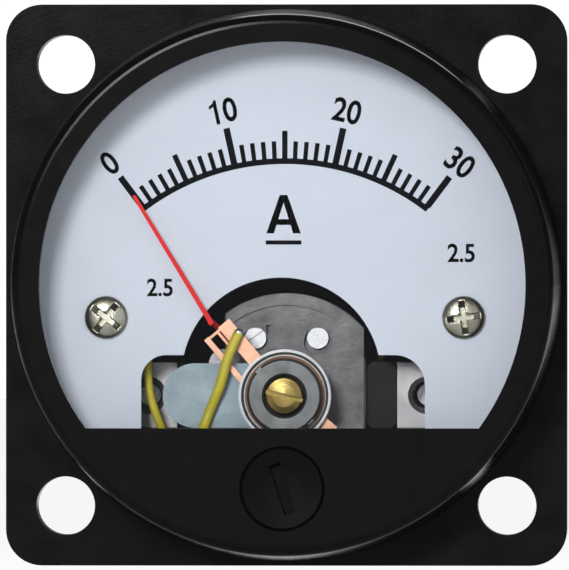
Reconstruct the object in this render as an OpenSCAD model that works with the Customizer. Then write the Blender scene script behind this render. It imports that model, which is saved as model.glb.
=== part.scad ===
// Round-fronted analog panel meter on a square flange, moving coil, dial towards -Y.
// The panel's front face is the plane y = 0: the flange lies before it and the barrel behind.

/* [Mounting] */
// Side of the square flange
flange_w = 45; // [43:0.5:52]
// Thickness of the flange
flange_t = 3; // [2.5:0.1:3.4]
// Corner radius of the flange
flange_corner_r = 2.9; // [1:0.1:3.5]
// Distance between neighbouring panel screw holes
hole_pitch = 35.4; // [35:0.1:36.4]
// Diameter of the panel screw holes
hole_d = 4.7; // [3:0.1:4.8]

/* [Case] */
// Outside diameter of the barrel behind the panel
barrel_d = 38; // [37.6:0.1:38.6]
// Length of the barrel behind the panel
barrel_len = 20; // [19:0.25:24]
// Wall of the barrel
barrel_wall = 1.6; // [1.2:0.1:1.7]
// Thickness of the back wall
back_wall = 2.2; // [1.6:0.1:2.6]

/* [Front] */
// Diameter of the bezel at its base
bezel_d = 44.3; // [44:0.1:44.5]
// Diameter of the bezel's front face before its edge is rounded
bezel_front_d = 43.2; // [42.6:0.1:43.6]
// Height of the bezel in front of the flange
bezel_h = 9; // [8.8:0.1:12]
// Rounding of the bezel's front edge
bezel_edge_r = 0.8; // [0.3:0.1:1]
// Thickness of the bezel's front plate
bezel_plate_t = 1.4; // [1:0.1:1.5]
// Width of the bezel's rim round the window opening
rim_w = 2.25; // [2.1:0.05:2.8]
// Height of the apron's upper edge above the zero adjuster's axis
apron_rise = 4.8; // [4.5:0.1:5.1]
// Thickness of the window pane
window_t = 1.4; // [0.8:0.1:1.5]

/* [Zero adjuster] */
// Distance of the zero adjuster's axis inside the bezel's front edge
zero_inset = 5.4; // [5.2:0.1:5.6]
// Diameter of the adjuster's head
zero_head_d = 6.6; // [6:0.1:6.8]
// Clearance all round the adjuster's head and shank
zero_gap = 0.1; // [0.05:0.01:0.12]
// Distance of the drive pin from the adjuster's axis
zero_pin_offset = 0.9; // [0.7:0.05:1]

/* [Dial] */
// Distance of the dial's edge inside the bezel's front edge
dial_inset = 1.7; // [1.6:0.05:1.9]
// Thickness of the dial plate
dial_t = 0.4; // [0.3:0.05:0.5]
// Distance of the dial's face in front of the panel
dial_y = 6; // [5.8:0.1:6.3]
// Half distance between the two dial screws
dial_screw_x = 14.3; // [14:0.1:14.4]
// Height of the dial screws
dial_screw_z = -2.6; // [-3:0.1:-2.4]
// Radius of the arch cut out of the dial
dial_arch_r = 8; // [7.8:0.1:8.4]

/* [Movement] */
// Height of the pointer's axis, from the meter's centre
pivot_z = -8.85; // [-8.9:0.01:-8.8]
// Angle that the pointer sweeps, in degrees
sweep = 74; // [60:1:78]
// Radius of the pointer's tip
pointer_r = 20.1; // [19:0.1:20.6]
// Radius of the core inside the coil
core_r = 3.4; // [3:0.05:3.45]
// Radius of the pole pieces' bore
bore_r = 4.95; // [4.9:0.01:5.1]
// Length of the pole pieces, magnets and yoke limbs
pole_len = 10; // [9.5:0.1:10.3]
// Half width of a pole piece's outer face, from the axis
pole_x = 6.3; // [6.25:0.01:6.4]
// Thickness of a magnet block
magnet_t = 2.48; // [2.4:0.01:2.52]
// Height of the magnets and yoke limbs
limb_h = 5.2; // [4.8:0.1:5.4]
// Distance of the movement screws to either side
movement_screw_x = 11.2; // [11.1:0.05:11.3]

/* [Terminals] */
// Half distance between the terminal studs
stud_x = 9.5; // [9:0.1:10]
// Height of the terminal studs
stud_z = 4; // [3:0.1:5]
// Diameter of the terminal studs
stud_d = 4; // [3:0.1:4]
// Length of the studs behind the case
stud_out = 12; // [10.5:0.5:16]

/* [Hidden] */
$fn = 64;
thread_gap = 0.02;
run_gap = 0.05;

// stations along the depth, negative in front of the panel
y_front = -flange_t - bezel_h;
y_win = y_front + bezel_plate_t;
y_dial = -dial_y;
y_case_back = barrel_len;
y_floor = barrel_len - back_wall;

// case
barrel_r = barrel_d / 2;
barrel_in_r = barrel_r - barrel_wall;
bezel_draft = 1.1;
bezel_wall = 0.4;
// the bezel's narrower end, which all that lies inside the bezel follows
inner_d = min(bezel_d - bezel_draft, bezel_front_d);
bezel_in_r = inner_d / 2 - bezel_wall;
opening_r = inner_d / 2 - rim_w;
dial_d = inner_d - 2 * dial_inset;
zero_z = zero_inset - inner_d / 2;
apron_z = zero_z + apron_rise;
spigot_r = bezel_in_r - 0.2;
spigot_in_r = dial_d / 2 + 0.2;
gasket_t = 0.5;
y_spigot = y_win + window_t + gasket_t;
y_ledge = -flange_t + 0.4;
pillar_r = 2.3;
dial_screw_r = 0.98;
dial_head_r = 1.72;
dial_head_h = 0.75;

// frame plate, bridge and the stack of washers on it
plate_t = 1.2;
y_plate = -2.2;
y_pole = y_plate + plate_t;
plate_r = 8.2;
bridge_t = 0.8;
y_bridge = -5;
bridge_end_x = -7.24;
bridge_r = 2.58;
bush_r = 1.95;
bush_flange_r = 2.7;
bush_flange_t = 0.5;
jewel_screw_r = 1.5;
insul_t = 0.25;
regulator_t = 0.4;
y_reg = y_bridge - insul_t - regulator_t;
friction_r = 3.7;
friction_h = 0.65;
friction_t = 0.25;
y_friction = y_reg - friction_t;
y_insul = y_friction - insul_t;
insul_r = 3.2;
nut_h = 0.9;
nut_r = 3;
y_nut = y_insul - nut_h;
y_jewel_screw = y_nut - 0.55;
jewel_screw_len = 3.4;
jewel_r = 0.6;
jewel_t = 0.6;

// coil
former_x = core_r + 0.3;
former_t = 0.35;
winding_t = 0.42;
coil_half_w = former_x + former_t + winding_t;
coil_half_h = 1;
core_len = pole_len - 2.6;
y_core = y_pole + 1.3;
y_coil_front = y_core - 0.35 - former_t;
coil_len = core_len + 0.7 + 2 * former_t;
y_coil_back = y_coil_front + coil_len;
staff_r = 0.45;

// core support
support_x = 2.5;
support_z = pivot_z + 4.6;
post_r = 0.7;
frame_hole_r = 1.12;
frame_screw_r = 0.42;

// yoke and its fixings
limb_x = pole_x + 0.05 + magnet_t + 0.02;
strap_t = 2;
y_yoke = y_pole;
y_limb_back = y_pole + pole_len;
y_yoke_back = y_limb_back + strap_t;
yoke_end_r = limb_h / 2;
tap_r = 1.15;
move_screw_r = 1.1;
boss_r = 2.5;

// zero adjuster and the fork that follows its pin
fork_arm = pivot_z - zero_z;
pin_r = 0.4;
y_zero_pin = y_reg + regulator_t + 0.35;
zero_head_t = 1.1;
shank_r = 2.2;
clip_t = 0.4;
fork_gap = 0.08;

// pointer
rest_angle = -sweep / 2;
y_hub = -3.45;
hub_t = 0.4;
hub_r = 1.25;
y_pointer = y_dial - 1.1;
pointer_w = 0.4;

// ---- shapes that several pieces share ----

// cylinder along Y from y0 to y1
module rod(r, y0, y1) {
    translate([0, y0, 0]) rotate([-90, 0, 0]) cylinder(r = r, h = y1 - y0);
}
// solid of revolution about Y, its outline given as [radius, y]
module turned(outline) {
    rotate([-90, 0, 0]) rotate_extrude() polygon(outline);
}
// flat sheet in the X-Z plane whose front face is at y0
module sheet(y0, t) {
    translate([0, y0 + t, 0]) rotate([90, 0, 0]) linear_extrude(t) children();
}
// round-ended bar between two points of a sheet
module bar(p, q, w) {
    len = norm(q - p);
    translate(p) rotate(atan2(q[1] - p[1], q[0] - p[0])) translate([0, -w / 2]) square([len, w]);
    translate(p) circle(d = w);
    translate(q) circle(d = w);
}
module at_pivot() {
    translate([0, 0, pivot_z]) children();
}
module at_zero() {
    translate([0, 0, zero_z]) children();
}
// what turns with the coil, drawn with the pointer upright and then set to the scale's zero
module at_rest() {
    at_pivot() rotate([0, rest_angle, 0]) children();
}
module both_sides() {
    for (side = [-1, 1]) scale_x(side) children();
}
module scale_x(side) {
    if (side < 0) mirror([1, 0, 0]) children();
    else children();
}
module rounded_square(w, h, r) {
    square([w - 2 * r, h], center = true);
    square([w, h - 2 * r], center = true);
    for (x = [-1, 1], y = [-1, 1])
        translate([x * (w / 2 - r), y * (h / 2 - r)]) circle(r);
}

// ---- housing ----

module rear_case() {
    pad_r = stud_d / 2 + 2.7;
    chamfer = 0.8;
    color("#1c1c1d") {
        difference() {
            union() {
                sheet(-flange_t, flange_t) rounded_square(flange_w, flange_w, flange_corner_r);
                turned([[0, -flange_t], [barrel_r, -flange_t], [barrel_r, barrel_len - chamfer],
                    [barrel_r - chamfer, barrel_len], [0, barrel_len]]);
                rod(spigot_r, y_spigot, -flange_t);
                both_sides() translate([stud_x, 0, stud_z]) rod(pad_r, barrel_len - 1, barrel_len + pad_h);
            }
            rod(barrel_in_r, y_ledge - 1, y_floor);
            rod(spigot_in_r, y_spigot - 1, y_ledge);
            for (x = [-1, 1], z = [-1, 1])
                translate([x * hole_pitch / 2, 0, z * hole_pitch / 2])
                    rod(hole_d / 2, -flange_t - 1, 1);
            case_holes();
        }
        case_pillars();
    }
}
pad_h = 0.6;
// holes through the back wall for the studs and the movement screws
module case_holes() {
    both_sides() {
        translate([stud_x, 0, stud_z]) rod(stud_d / 2 + run_gap, y_floor - 1, barrel_len + 2);
        translate([movement_screw_x, 0, pivot_z]) rod(move_screw_r + 0.15, y_floor - 1, barrel_len + 2);
    }
}
// pillars that carry the dial, each tied to the wall by a web, and the bosses under the yoke
module case_pillars() {
    web_t = 1.6;
    y_top = y_dial + dial_t;
    both_sides() {
        difference() {
            translate([dial_screw_x, 0, dial_screw_z]) union() {
                rod(pillar_r, y_top, y_floor + 0.2);
                translate([0, y_ledge + 0.6, -web_t / 2])
                    cube([barrel_in_r + 0.3 - dial_screw_x, y_floor - y_ledge - 0.4, web_t]);
            }
            translate([dial_screw_x, 0, dial_screw_z])
                rod(dial_screw_r + thread_gap, y_top - 1, y_top + dial_thread_len + 0.5);
        }
        difference() {
            translate([movement_screw_x, 0, pivot_z]) rod(boss_r, y_yoke_back, y_floor + 0.2);
            translate([movement_screw_x, 0, pivot_z])
                rod(move_screw_r + 0.15, y_yoke_back - 1, barrel_len);
        }
    }
}
dial_thread_len = 5;

// the bezel's wall, plate and apron are one moulding
module front_bezel() {
    base_r = bezel_d / 2;
    front_r = bezel_front_d / 2;
    boss_len = 2.4;
    color("#1b1b1c") difference() {
        union() {
            difference() {
                rounded_front(base_r, front_r);
                rod(bezel_in_r, y_win, 1);
            }
            at_zero() rod(zero_boss_r, y_win - 0.2, y_front + zero_recess + boss_len);
        }
        sheet(y_front - 1, bezel_plate_t + 2) window_outline(opening_r, apron_z);
        at_zero() rod(zero_head_d / 2 + zero_gap, y_front - 1, y_front + zero_recess);
        at_zero() rod(shank_r + run_gap, y_front, 0);
    }
}
zero_recess = 1;
zero_boss_r = 3.55;
y_zero_boss = y_front + zero_recess + 2.4;
// tapered body whose front edge is a quarter round
module rounded_front(base_r, front_r) {
    e = bezel_edge_r;
    arc = [for (a = [0:15:90]) [front_r - e + e * sin(a), y_front + e - e * cos(a)]];
    turned(concat([[0, y_front]], arc, [[base_r, -flange_t], [0, -flange_t]]));
}
// a disc with its lower part cut off straight
module window_outline(r, chord) {
    intersection() {
        circle(r, $fn = 128);
        translate([-r - 1, chord]) square([2 * r + 2, r + 1 - chord]);
    }
}
module window() {
    color("#dfe8ee", 0.3)
        sheet(y_win, window_t) window_outline(bezel_in_r - 0.15, apron_z - 0.75);
}
module rim_gasket() {
    color("#2b2a28") turned([[spigot_in_r, y_spigot - gasket_t], [spigot_r, y_spigot - gasket_t],
        [spigot_r, y_spigot], [spigot_in_r, y_spigot]]);
}

// ---- zero adjuster ----

module zero_screw() {
    head_r = zero_head_d / 2;
    y_head = y_front + 0.25;
    y_head_back = y_front + zero_recess - 0.03;
    y_shank = y_zero_boss + clip_t + 0.8;
    color("#161617") difference() {
        at_zero() union() {
            turned([[0, y_head + 0.4], [head_r * 0.45, y_head + 0.32], [head_r * 0.8, y_head + 0.1],
                [head_r - 0.15, y_head], [head_r, y_head + 0.12], [head_r, y_head_back],
                [shank_r, y_head_back], [shank_r, y_zero_boss + 0.05],
                [shank_r - 0.4, y_zero_boss + 0.05], [shank_r - 0.4, y_zero_boss + clip_t + 0.15],
                [shank_r, y_zero_boss + clip_t + 0.15], [shank_r, y_shank], [0, y_shank]]);
            translate([0, 0, zero_pin_offset]) rod(pin_r, y_shank - 0.2, y_zero_pin);
        }
        at_zero() rotate([0, -17.5, 0]) translate([-0.45, y_front, -2.05]) cube([0.9, 1.2, 4.1]);
    }
}
// open spring clip in the adjuster's groove
module zero_clip() {
    color("#9a9da0") at_zero() sheet(y_zero_boss + 0.1, clip_t) difference() {
        circle(shank_r + 0.9);
        circle(shank_r - 0.35);
        translate([-0.9, -5]) square([1.8, 5]);
    }
}

// ---- dial ----

// sheet-metal dial: a disc with an arch and two shoulders cut out for the movement
module dial_outline() {
    difference() {
        circle(dial_d / 2, $fn = 128);
        translate(dial_arch_centre) circle(dial_arch_r);
        shoulder(cut_left, 2, -dial_shoulder_z);
        mirror([1, 0]) shoulder(cut_right, 2.4, -dial_shoulder_z);
        for (side = [-1, 1]) translate([side * dial_screw_x, dial_screw_z]) circle(dial_screw_r + 0.25);
    }
}
dial_arch_centre = [-0.3, -7.4];
dial_shoulder_z = 5.6;
cut_left = 11.5;
cut_right = 11.2;
// left half of the cut-out below the arch: straight sides, open downwards, with a round corner
module shoulder(reach, r, top) {
    depth = dial_d / 2;
    translate([-reach, top - r - depth]) square([reach + 0.01, depth]);
    translate([-reach + r, top - depth]) square([reach - r + 0.01, depth]);
    translate([-reach + r, top - r]) circle(r);
}
module dial_plate() {
    color("#cfd6e4") sheet(y_dial, dial_t) dial_outline();
}
// cross-recess pan head screws into the case pillars
module dial_screws() {
    turn = [40, -8];
    color("#c9ccd0") for (i = [0, 1])
        translate([(2 * i - 1) * dial_screw_x, 0, dial_screw_z])
            rotate([0, turn[i], 0]) difference() {
                union() {
                    turned([[0, y_dial - dial_head_h], [dial_head_r * 0.5, y_dial - dial_head_h * 0.93],
                        [dial_head_r * 0.85, y_dial - dial_head_h * 0.65],
                        [dial_head_r, y_dial - dial_head_h * 0.25], [dial_head_r, y_dial],
                        [dial_screw_r, y_dial], [dial_screw_r, y_dial + dial_thread_len - 0.3],
                        [dial_screw_r - 0.3, y_dial + dial_thread_len], [0, y_dial + dial_thread_len]]);
                }
                for (a = [0, 90]) rotate([0, a, 0])
                    translate([-dial_head_r * 0.62, y_dial - dial_head_h - 0.1, -0.17])
                        cube([dial_head_r * 1.24, 0.6, 0.34]);
            }
}

// ---- magnet system ----

// die-cast plate in front of the pole pieces, with a tongue under the bridge's end
module movement_frame() {
    left_edge = -4.9;
    color("#8c8d8e") difference() {
        union() {
            at_pivot() sheet(y_plate, plate_t) {
                intersection() {
                    circle(plate_r);
                    translate([left_edge, -limb_h / 2 - 1.2])
                        square([pole_x - 0.1 - left_edge, plate_r + limb_h]);
                }
                bar([left_edge, 0], [bridge_end_x, 0], 2 * bridge_r - 0.8);
            }
            at_pivot() sheet(y_plate - 0.25, 0.3) intersection() {
                difference() {
                    circle(plate_r - 0.05);
                    circle(plate_r - 0.95);
                }
                translate([left_edge, 0]) square([pole_x - 0.1 - left_edge, plate_r]);
            }
        }
        at_pivot() rod(1.7, y_plate - 1, y_pole + 1);
        for (side = [-1, 1]) translate([side * support_x, 0, support_z]) {
            translate([0, 0, -0.3]) rod(frame_hole_r, y_plate - 1, y_plate + 0.6);
            rod(frame_screw_r + 0.08, y_plate - 1, y_pole + 1);
        }
        translate([0, 0, pivot_z]) rotate([0, -90, 0]) pin_slot();
        rivet_places() rod(rivet_r, y_plate - 1, y_pole + 1);
        translate([bridge_end_x, 0, pivot_z]) {
            rod(bridge_screw_r + 0.1, y_plate - 1, y_pole + 1);
            rod(bridge_head_r + 0.1, y_pole - bridge_head_h, y_pole + 1);
        }
    }
}
rivet_r = 0.36;
bridge_screw_r = 0.8;
bridge_head_r = 1.4;
bridge_head_h = 0.65;
// short slot beside the support screw
module pin_slot() {
    translate([4.8, y_plate - 0.3, 1.28]) cube([0.85, 0.9, 0.35]);
}
module rivet_places() {
    for (x = [-1, 1], z = [-1, 1]) translate([x * 5.3, 0, pivot_z + z * 2.2]) children();
}
module pole_rivets() {
    color("#b9bbbd") rivet_places() {
        rod(rivet_r, y_plate - 0.05, y_pole + 3);
    }
}
// pole piece: a block with rounded outer corners, bored for the coil
module pole_outline() {
    tip_z = 3.7;
    corner = 1.2;
    inner_x = 2.6;
    difference() {
        union() {
            translate([inner_x, -tip_z]) square([pole_x - corner - inner_x, 2 * tip_z]);
            translate([inner_x, corner - tip_z]) square([pole_x - inner_x, 2 * (tip_z - corner)]);
            for (z = [-1, 1]) translate([pole_x - corner, z * (tip_z - corner)]) circle(corner);
        }
        circle(bore_r);
    }
}
module pole_shoe() {
    color("#6f7072") difference() {
        at_pivot() sheet(y_pole, pole_len) pole_outline();
        rivet_places() rod(rivet_r, y_pole - 1, y_pole + 3.2);
    }
}
module pole_shoe_right() {
    intersection() {
        pole_shoe();
        translate([0, y_pole - 1, -barrel_r * 2]) cube([barrel_r, pole_len + 2, barrel_r * 4]);
    }
}
module pole_shoe_left() {
    mirror([1, 0, 0]) pole_shoe_right();
}
module magnet_block() {
    color("#33342f") at_pivot() sheet(y_yoke + 0.05, pole_len - 0.2)
        translate([pole_x + 0.05 + magnet_t / 2, 0]) rounded_square(magnet_t, limb_h + 0.1, 0.7);
}
module magnet_right() {
    magnet_block();
}
// the left magnet lies behind the frame plate's tongue
module magnet_left() {
    mirror([1, 0, 0]) magnet_block();
}
// U-shaped soft iron yoke: two limbs joined by a strap behind the coil
module yoke() {
    color("#8f9193") difference() {
        union() {
            both_sides() at_pivot() {
                sheet(y_yoke, y_yoke_back - y_yoke) limb_outline();
                sheet(y_limb_back, strap_t)
                    translate([-0.5, -limb_h / 2]) square([limb_x + 1, limb_h]);
            }
        }
        both_sides() translate([movement_screw_x, 0, pivot_z]) {
            rod(tap_r, y_yoke - 1, y_yoke_back + 1);
            turned([[0, y_yoke - 0.1], [tap_r + 0.45, y_yoke - 0.1], [tap_r, y_yoke + 0.35], [0, y_yoke + 0.35]]);
        }
        at_pivot() rod(strap_hole_r, y_limb_back - 1, y_yoke_back + 1);
        both_sides() translate([rear_leg_x, 0, pivot_z])
            rod(rear_screw_r + thread_gap, y_limb_back + 0.4, y_yoke_back + 1);
    }
}
strap_hole_r = 1.8;
rear_leg_x = 6.6;
rear_screw_r = 0.6;
module limb_outline() {
    end_x = movement_screw_x - 0.2;
    translate([limb_x, -limb_h / 2]) square([end_x - limb_x, limb_h]);
    intersection() {
        translate([end_x, 0]) circle(yoke_end_r);
        translate([limb_x, -limb_h / 2]) square([limb_h + 2, limb_h]);
    }
}
module movement_screws() {
    head_r = 2;
    y_end = 3;
    color("#b7bbbf") both_sides() translate([movement_screw_x, 0, pivot_z]) difference() {
        turned([[0, y_end], [move_screw_r - 0.25, y_end], [move_screw_r, y_end + 0.3],
            [move_screw_r, barrel_len], [head_r, barrel_len], [head_r, barrel_len + 0.9],
            [head_r - 0.45, barrel_len + 1.4], [0, barrel_len + 1.4]]);
        translate([-head_r - 1, barrel_len + 0.7, -0.3]) cube([2 * head_r + 2, 1, 0.6]);
    }
}
module core() {
    color("#77787a") difference() {
        at_pivot() rod(core_r, y_core, y_core + core_len);
        translate([0, (2 * y_core + core_len) / 2, pivot_z])
            translate([0, 0, core_r - 2.2]) cylinder(r = core_tap_r, h = 3);
        at_pivot() rod(staff_r + 0.4, y_core - 1, y_core + core_len + 1);
    }
}
core_tap_r = 0.5;
// brass saddle that carries the core from two posts behind the frame plate
module core_support() {
    y_mid = y_core + core_len / 2;
    reach = 3.2;
    neck = 1.6;
    bar_z = 4.05;
    color("#b08a45") difference() {
        union() {
            for (side = [-1, 1]) translate([side * support_x, 0, support_z])
                rod(post_r, y_pole, y_mid + reach);
            translate([-support_x, y_mid - reach, pivot_z + bar_z])
                cube([2 * support_x, 2 * reach, support_z - pivot_z + post_r - bar_z]);
            translate([-neck, y_mid - reach, pivot_z + core_r - 0.5])
                cube([2 * neck, 2 * reach, bar_z - core_r + 0.6]);
        }
        at_pivot() rod(core_r + 0.01, y_core - 1, y_core + core_len + 1);
        translate([0, y_mid, pivot_z + core_r - 1]) cylinder(r = core_tap_r + 0.05, h = 5);
        translate([0, y_mid, support_z + post_r - 0.4]) cylinder(r = 1, h = 2);
        for (side = [-1, 1]) translate([side * support_x, 0, support_z])
            rod(frame_screw_r + thread_gap, y_pole - 1, y_pole + 3);
    }
}
// two screws through the frame plate into the posts and one through the saddle into the core
module frame_screws() {
    y_mid = y_core + core_len / 2;
    color("#d6d9db") {
        for (side = [-1, 1]) translate([side * support_x, 0, support_z]) rotate([0, 35 * side, 0])
            difference() {
                union() {
                    rod(0.85, y_plate + 0.05, y_plate + 0.6);
                    rod(frame_screw_r, y_plate + 0.5, y_pole + 2.6);
                }
                translate([-2, y_plate - 0.1, -0.17]) cube([4, 0.4, 0.34]);
            }
        translate([0, y_mid, 0]) {
            translate([0, 0, pivot_z + core_r - 1.8])
                cylinder(r = core_tap_r - thread_gap, h = support_z + post_r - 0.35 - pivot_z - core_r + 1.8);
            translate([0, 0, support_z + post_r - 0.39]) cylinder(r = 0.9, h = 0.5);
        }
    }
}

// ---- front bearing and zero regulator ----

// die-cast bridge: an eye round the bearing and a round-ended arm on an integral leg
module front_bridge() {
    eye_r = 3;
    color("#98a8b0") difference() {
        at_pivot() union() {
            sheet(y_bridge, bridge_t) {
                circle(eye_r);
                translate([bridge_end_x, -bridge_r]) square([-bridge_end_x, 2 * bridge_r]);
                translate([bridge_end_x, 0]) circle(bridge_r);
            }
            translate([bridge_end_x, 0, 0]) rod(2, y_bridge + bridge_t - 0.2, y_plate);
        }
        at_pivot() rod(bush_r + thread_gap, y_bridge - 1, y_bridge + bridge_t + 1);
        translate([bridge_end_x, 0, pivot_z])
            rod(bridge_screw_r + thread_gap, y_bridge + bridge_t, y_plate + 1);
    }
}
// countersunk from behind the frame plate into the bridge's leg
module bridge_screw() {
    y_back = y_pole - 0.05;
    color("#b7bbbf") translate([bridge_end_x, 0, pivot_z]) difference() {
        union() {
            rod(bridge_screw_r, y_bridge + bridge_t + 0.3, y_back - 0.2);
            rod(bridge_head_r, y_pole - bridge_head_h + 0.02, y_back);
        }
        translate([-2, y_back - 0.3, -0.2]) cube([4, 1, 0.4]);
    }
}
// threaded sleeve clamped in the bridge, carrying the jewel screw
module bearing_bush() {
    y_back = y_bridge + bridge_t;
    color("#a98844") at_pivot() turned([[jewel_screw_r + thread_gap, y_nut + 0.6],
        [bush_r, y_nut + 0.6], [bush_r, y_back], [bush_flange_r, y_back],
        [bush_flange_r, y_back + bush_flange_t], [jewel_screw_r + thread_gap, y_back + bush_flange_t]]);
}
// slotted screw with a domed end, cupped at its inner end for the jewel
module jewel_screw(y_head, len) {
    slot = 0.36;
    difference() {
        turned([[0, y_head - 0.12], [jewel_screw_r * 0.6, y_head - 0.08],
            [jewel_screw_r - 0.12, y_head + 0.03], [jewel_screw_r, y_head + 0.2],
            [jewel_screw_r, y_head + len], [jewel_r + 0.01, y_head + len],
            [jewel_r + 0.01, y_head + len - jewel_t], [0, y_head + len - jewel_t]]);
        rotate([0, 13, 0]) translate([-2, y_head - 1, -slot / 2]) cube([4, 1.55, slot]);
    }
}
// ring with a conical cup for the staff's point
module jewel(y_back) {
    turned([[0, y_back - jewel_t], [jewel_r, y_back - jewel_t], [jewel_r, y_back],
        [0.42, y_back], [0.1, y_back - 0.42], [0, y_back - 0.42]]);
}
module front_jewel_screw() {
    color("#b8994a") at_pivot() jewel_screw(y_jewel_screw, jewel_screw_len);
}
y_front_jewel = y_jewel_screw + jewel_screw_len;
module front_jewel() {
    color("#a02a4a") at_pivot() jewel(y_front_jewel);
}
// round nut whose lip covers the end of the sleeve
module lock_nut() {
    lip = 1.66;
    color("#7d8284") difference() {
        at_pivot() turned([[lip, y_nut + 0.15], [lip + 0.15, y_nut], [nut_r - 0.2, y_nut],
            [nut_r, y_nut + 0.2], [nut_r, y_insul], [bush_r + thread_gap, y_insul],
            [bush_r + thread_gap, y_nut + 0.3], [lip, y_nut + 0.3]]);
        for (a = [45, 225]) at_pivot() rotate([0, a, 0])
            translate([nut_r - 0.25, y_nut - 0.1, -0.3]) cube([1, 0.6, 0.6]);
    }
}
// dished zinc washer with a raised rim
module friction_washer() {
    inner = bush_r + run_gap;
    color("#93a1a8") at_pivot() turned([[inner, y_reg], [friction_r - 0.2, y_reg],
        [friction_r, y_reg - 0.2], [friction_r, y_reg - friction_h], [friction_r - 0.2, y_reg - friction_h],
        [friction_r - 0.42, y_friction], [inner, y_friction]]);
}
module insulator(y0, r) {
    at_pivot() sheet(y0, insul_t) difference() {
        circle(r);
        circle(bush_r + run_gap);
    }
}
module front_insulator() {
    color("#7a4a22") insulator(y_insul, insul_r);
}
module rear_insulator() {
    color("#7a4a22") insulator(y_bridge - insul_t, insul_r - 0.35);
}
// copper regulator: ring, solder tab, hairspring stud and the fork that the zero pin drives
module regulator() {
    tab_dir = -40.3;
    tab_w = 1.15;
    fork_z = zero_z - pivot_z + zero_pin_offset;
    arm_x = 4.15;
    arm_w = 1.1;
    fork_w = 2.6;
    tine = pin_r + fork_gap;
    color("#c08a68") at_pivot() {
        difference() {
            sheet(y_reg, regulator_t) {
                circle(regulator_r);
                rotate(-tab_dir) {
                    translate([-tab_w / 2, 0]) square([tab_w, tab_end_r]);
                    translate([-tab_w / 2 - 1.5, 2.6]) square([0.45, tab_end_r - 2.65]);
                }
                polygon([[2.4, -1.2], [3, -1.5], [arm_x, -2.5], [arm_x, fork_z + 0.85],
                    [arm_x - 0.95, fork_z - 0.5], [1, fork_z - 0.5], [1, fork_z + 0.55],
                    [arm_x - 1.55, fork_z + 0.55], [arm_x - arm_w, fork_z + 1.15],
                    [arm_x - arm_w, -3], [1.5, -2.4]]);
                translate([-fork_w / 2, fork_z - fork_w / 2]) square(fork_w);
            }
            rod(bush_r + run_gap, y_reg - 1, 0);
            translate([-tine, y_reg - 1, fork_z - 3]) cube([2 * tine, 3, 3 + tine + 0.25]);
        }
        rotate([0, stud_dir, 0]) translate([-0.25, y_reg + 0.1, spring_stud_r])
            cube([0.5, spring_y + spring_w - y_reg - 0.1, 0.35]);
        rotate([0, tab_dir, 0]) {
            translate([-tab_w / 2 - 1.45, y_reg + 0.15, 5.7]) cube([0.2, 1, 1.8]);
            translate([-tab_w / 2 - 1.45, y_reg + 0.15, 7.3]) cube([1.6, 1, 0.2]);
            translate([-tab_w / 2 - 0.35, y_reg + 0.15, 5.7]) cube([0.2, 1, 1.8]);
        }
    }
}
regulator_r = 3.7;
tab_end_r = 7.6;
spring_stud_r = 3.16;
stud_dir = 47;
// flat spiral of strip: turns from an inner to an outer radius, as one outline there and back
module spiral_strip(r0, r1, turns, w) {
    steps = 24 * turns;
    path = [for (i = [0:steps]) let (a = 360 * turns * i / steps, r = r0 + (r1 - r0) * i / steps)
        [r, a]];
    polygon(concat([for (p = path) (p[0] + w / 2) * [cos(p[1]), sin(p[1])]],
        [for (i = [steps:-1:0]) (path[i][0] - w / 2) * [cos(path[i][1]), sin(path[i][1])]]));
}
spring_y = -2.85;
spring_w = 0.4;
collet_r = 0.68;
module hairspring(y0) {
    sheet(y0, spring_w) {
        spiral_strip(0.82, 2.5, 5, 0.1);
        translate([2.45, -0.05]) square([spring_stud_r - 2.47, 0.12]);
    }
}
// its outer end lies against the regulator's stud
module front_hairspring() {
    color("#c9a25a") at_pivot() rotate([0, stud_dir - 90, 0]) hairspring(spring_y);
}

// ---- rear bearing ----

y_rear_spring = y_yoke_back + 0.35;
y_rear_bridge = y_yoke_back + 1.9;
rear_bridge_t = 0.9;
y_rear_jewel = y_rear_bridge - 0.35;
rear_leg_w = 1.7;
// brass bar on two legs, standing on the yoke's strap
module rear_bridge() {
    leg_x = rear_leg_x;
    half_w = 2.1;
    color("#b08a45") difference() {
        at_pivot() union() {
            sheet(y_rear_bridge, rear_bridge_t) bar([-leg_x, 0], [leg_x, 0], rear_leg_w);
            sheet(y_rear_bridge, rear_bridge_t) circle(half_w + 0.3);
            both_sides() translate([leg_x, 0, 0]) rod(rear_leg_w / 2, y_yoke_back, y_rear_bridge + 0.2);
        }
        at_pivot() rod(jewel_screw_r + thread_gap, y_rear_bridge - 1, y_rear_bridge + 2);
        both_sides() translate([leg_x, 0, pivot_z])
            rod(rear_screw_r + 0.05, y_yoke_back - 1, y_rear_bridge + 2);
    }
}
module rear_bridge_screws() {
    y_head = y_rear_bridge + rear_bridge_t;
    head_r = 0.95;
    color("#b7bbbf") both_sides() translate([rear_leg_x, 0, pivot_z]) difference() {
        turned([[0, y_limb_back + 0.5], [rear_screw_r, y_limb_back + 0.5], [rear_screw_r, y_head],
            [head_r, y_head], [head_r, y_head + 0.4], [head_r - 0.2, y_head + 0.6], [0, y_head + 0.6]]);
        translate([-2, y_head + 0.3, -0.14]) cube([4, 1, 0.28]);
    }
}
module rear_jewel_screw() {
    len = 2.9;
    color("#b8994a") at_pivot() rotate([0, 0, 180]) jewel_screw(-y_rear_jewel - len, len);
}
module rear_jewel() {
    color("#a02a4a") at_pivot() rotate([0, 0, 180]) jewel(-y_rear_jewel);
}
module rear_lock_nut() {
    y0 = y_rear_bridge + rear_bridge_t;
    color("#7d8284") at_pivot() sheet(y0, 0.8) difference() {
        circle(2.5, $fn = 6);
        circle(jewel_screw_r + thread_gap);
    }
}
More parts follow.
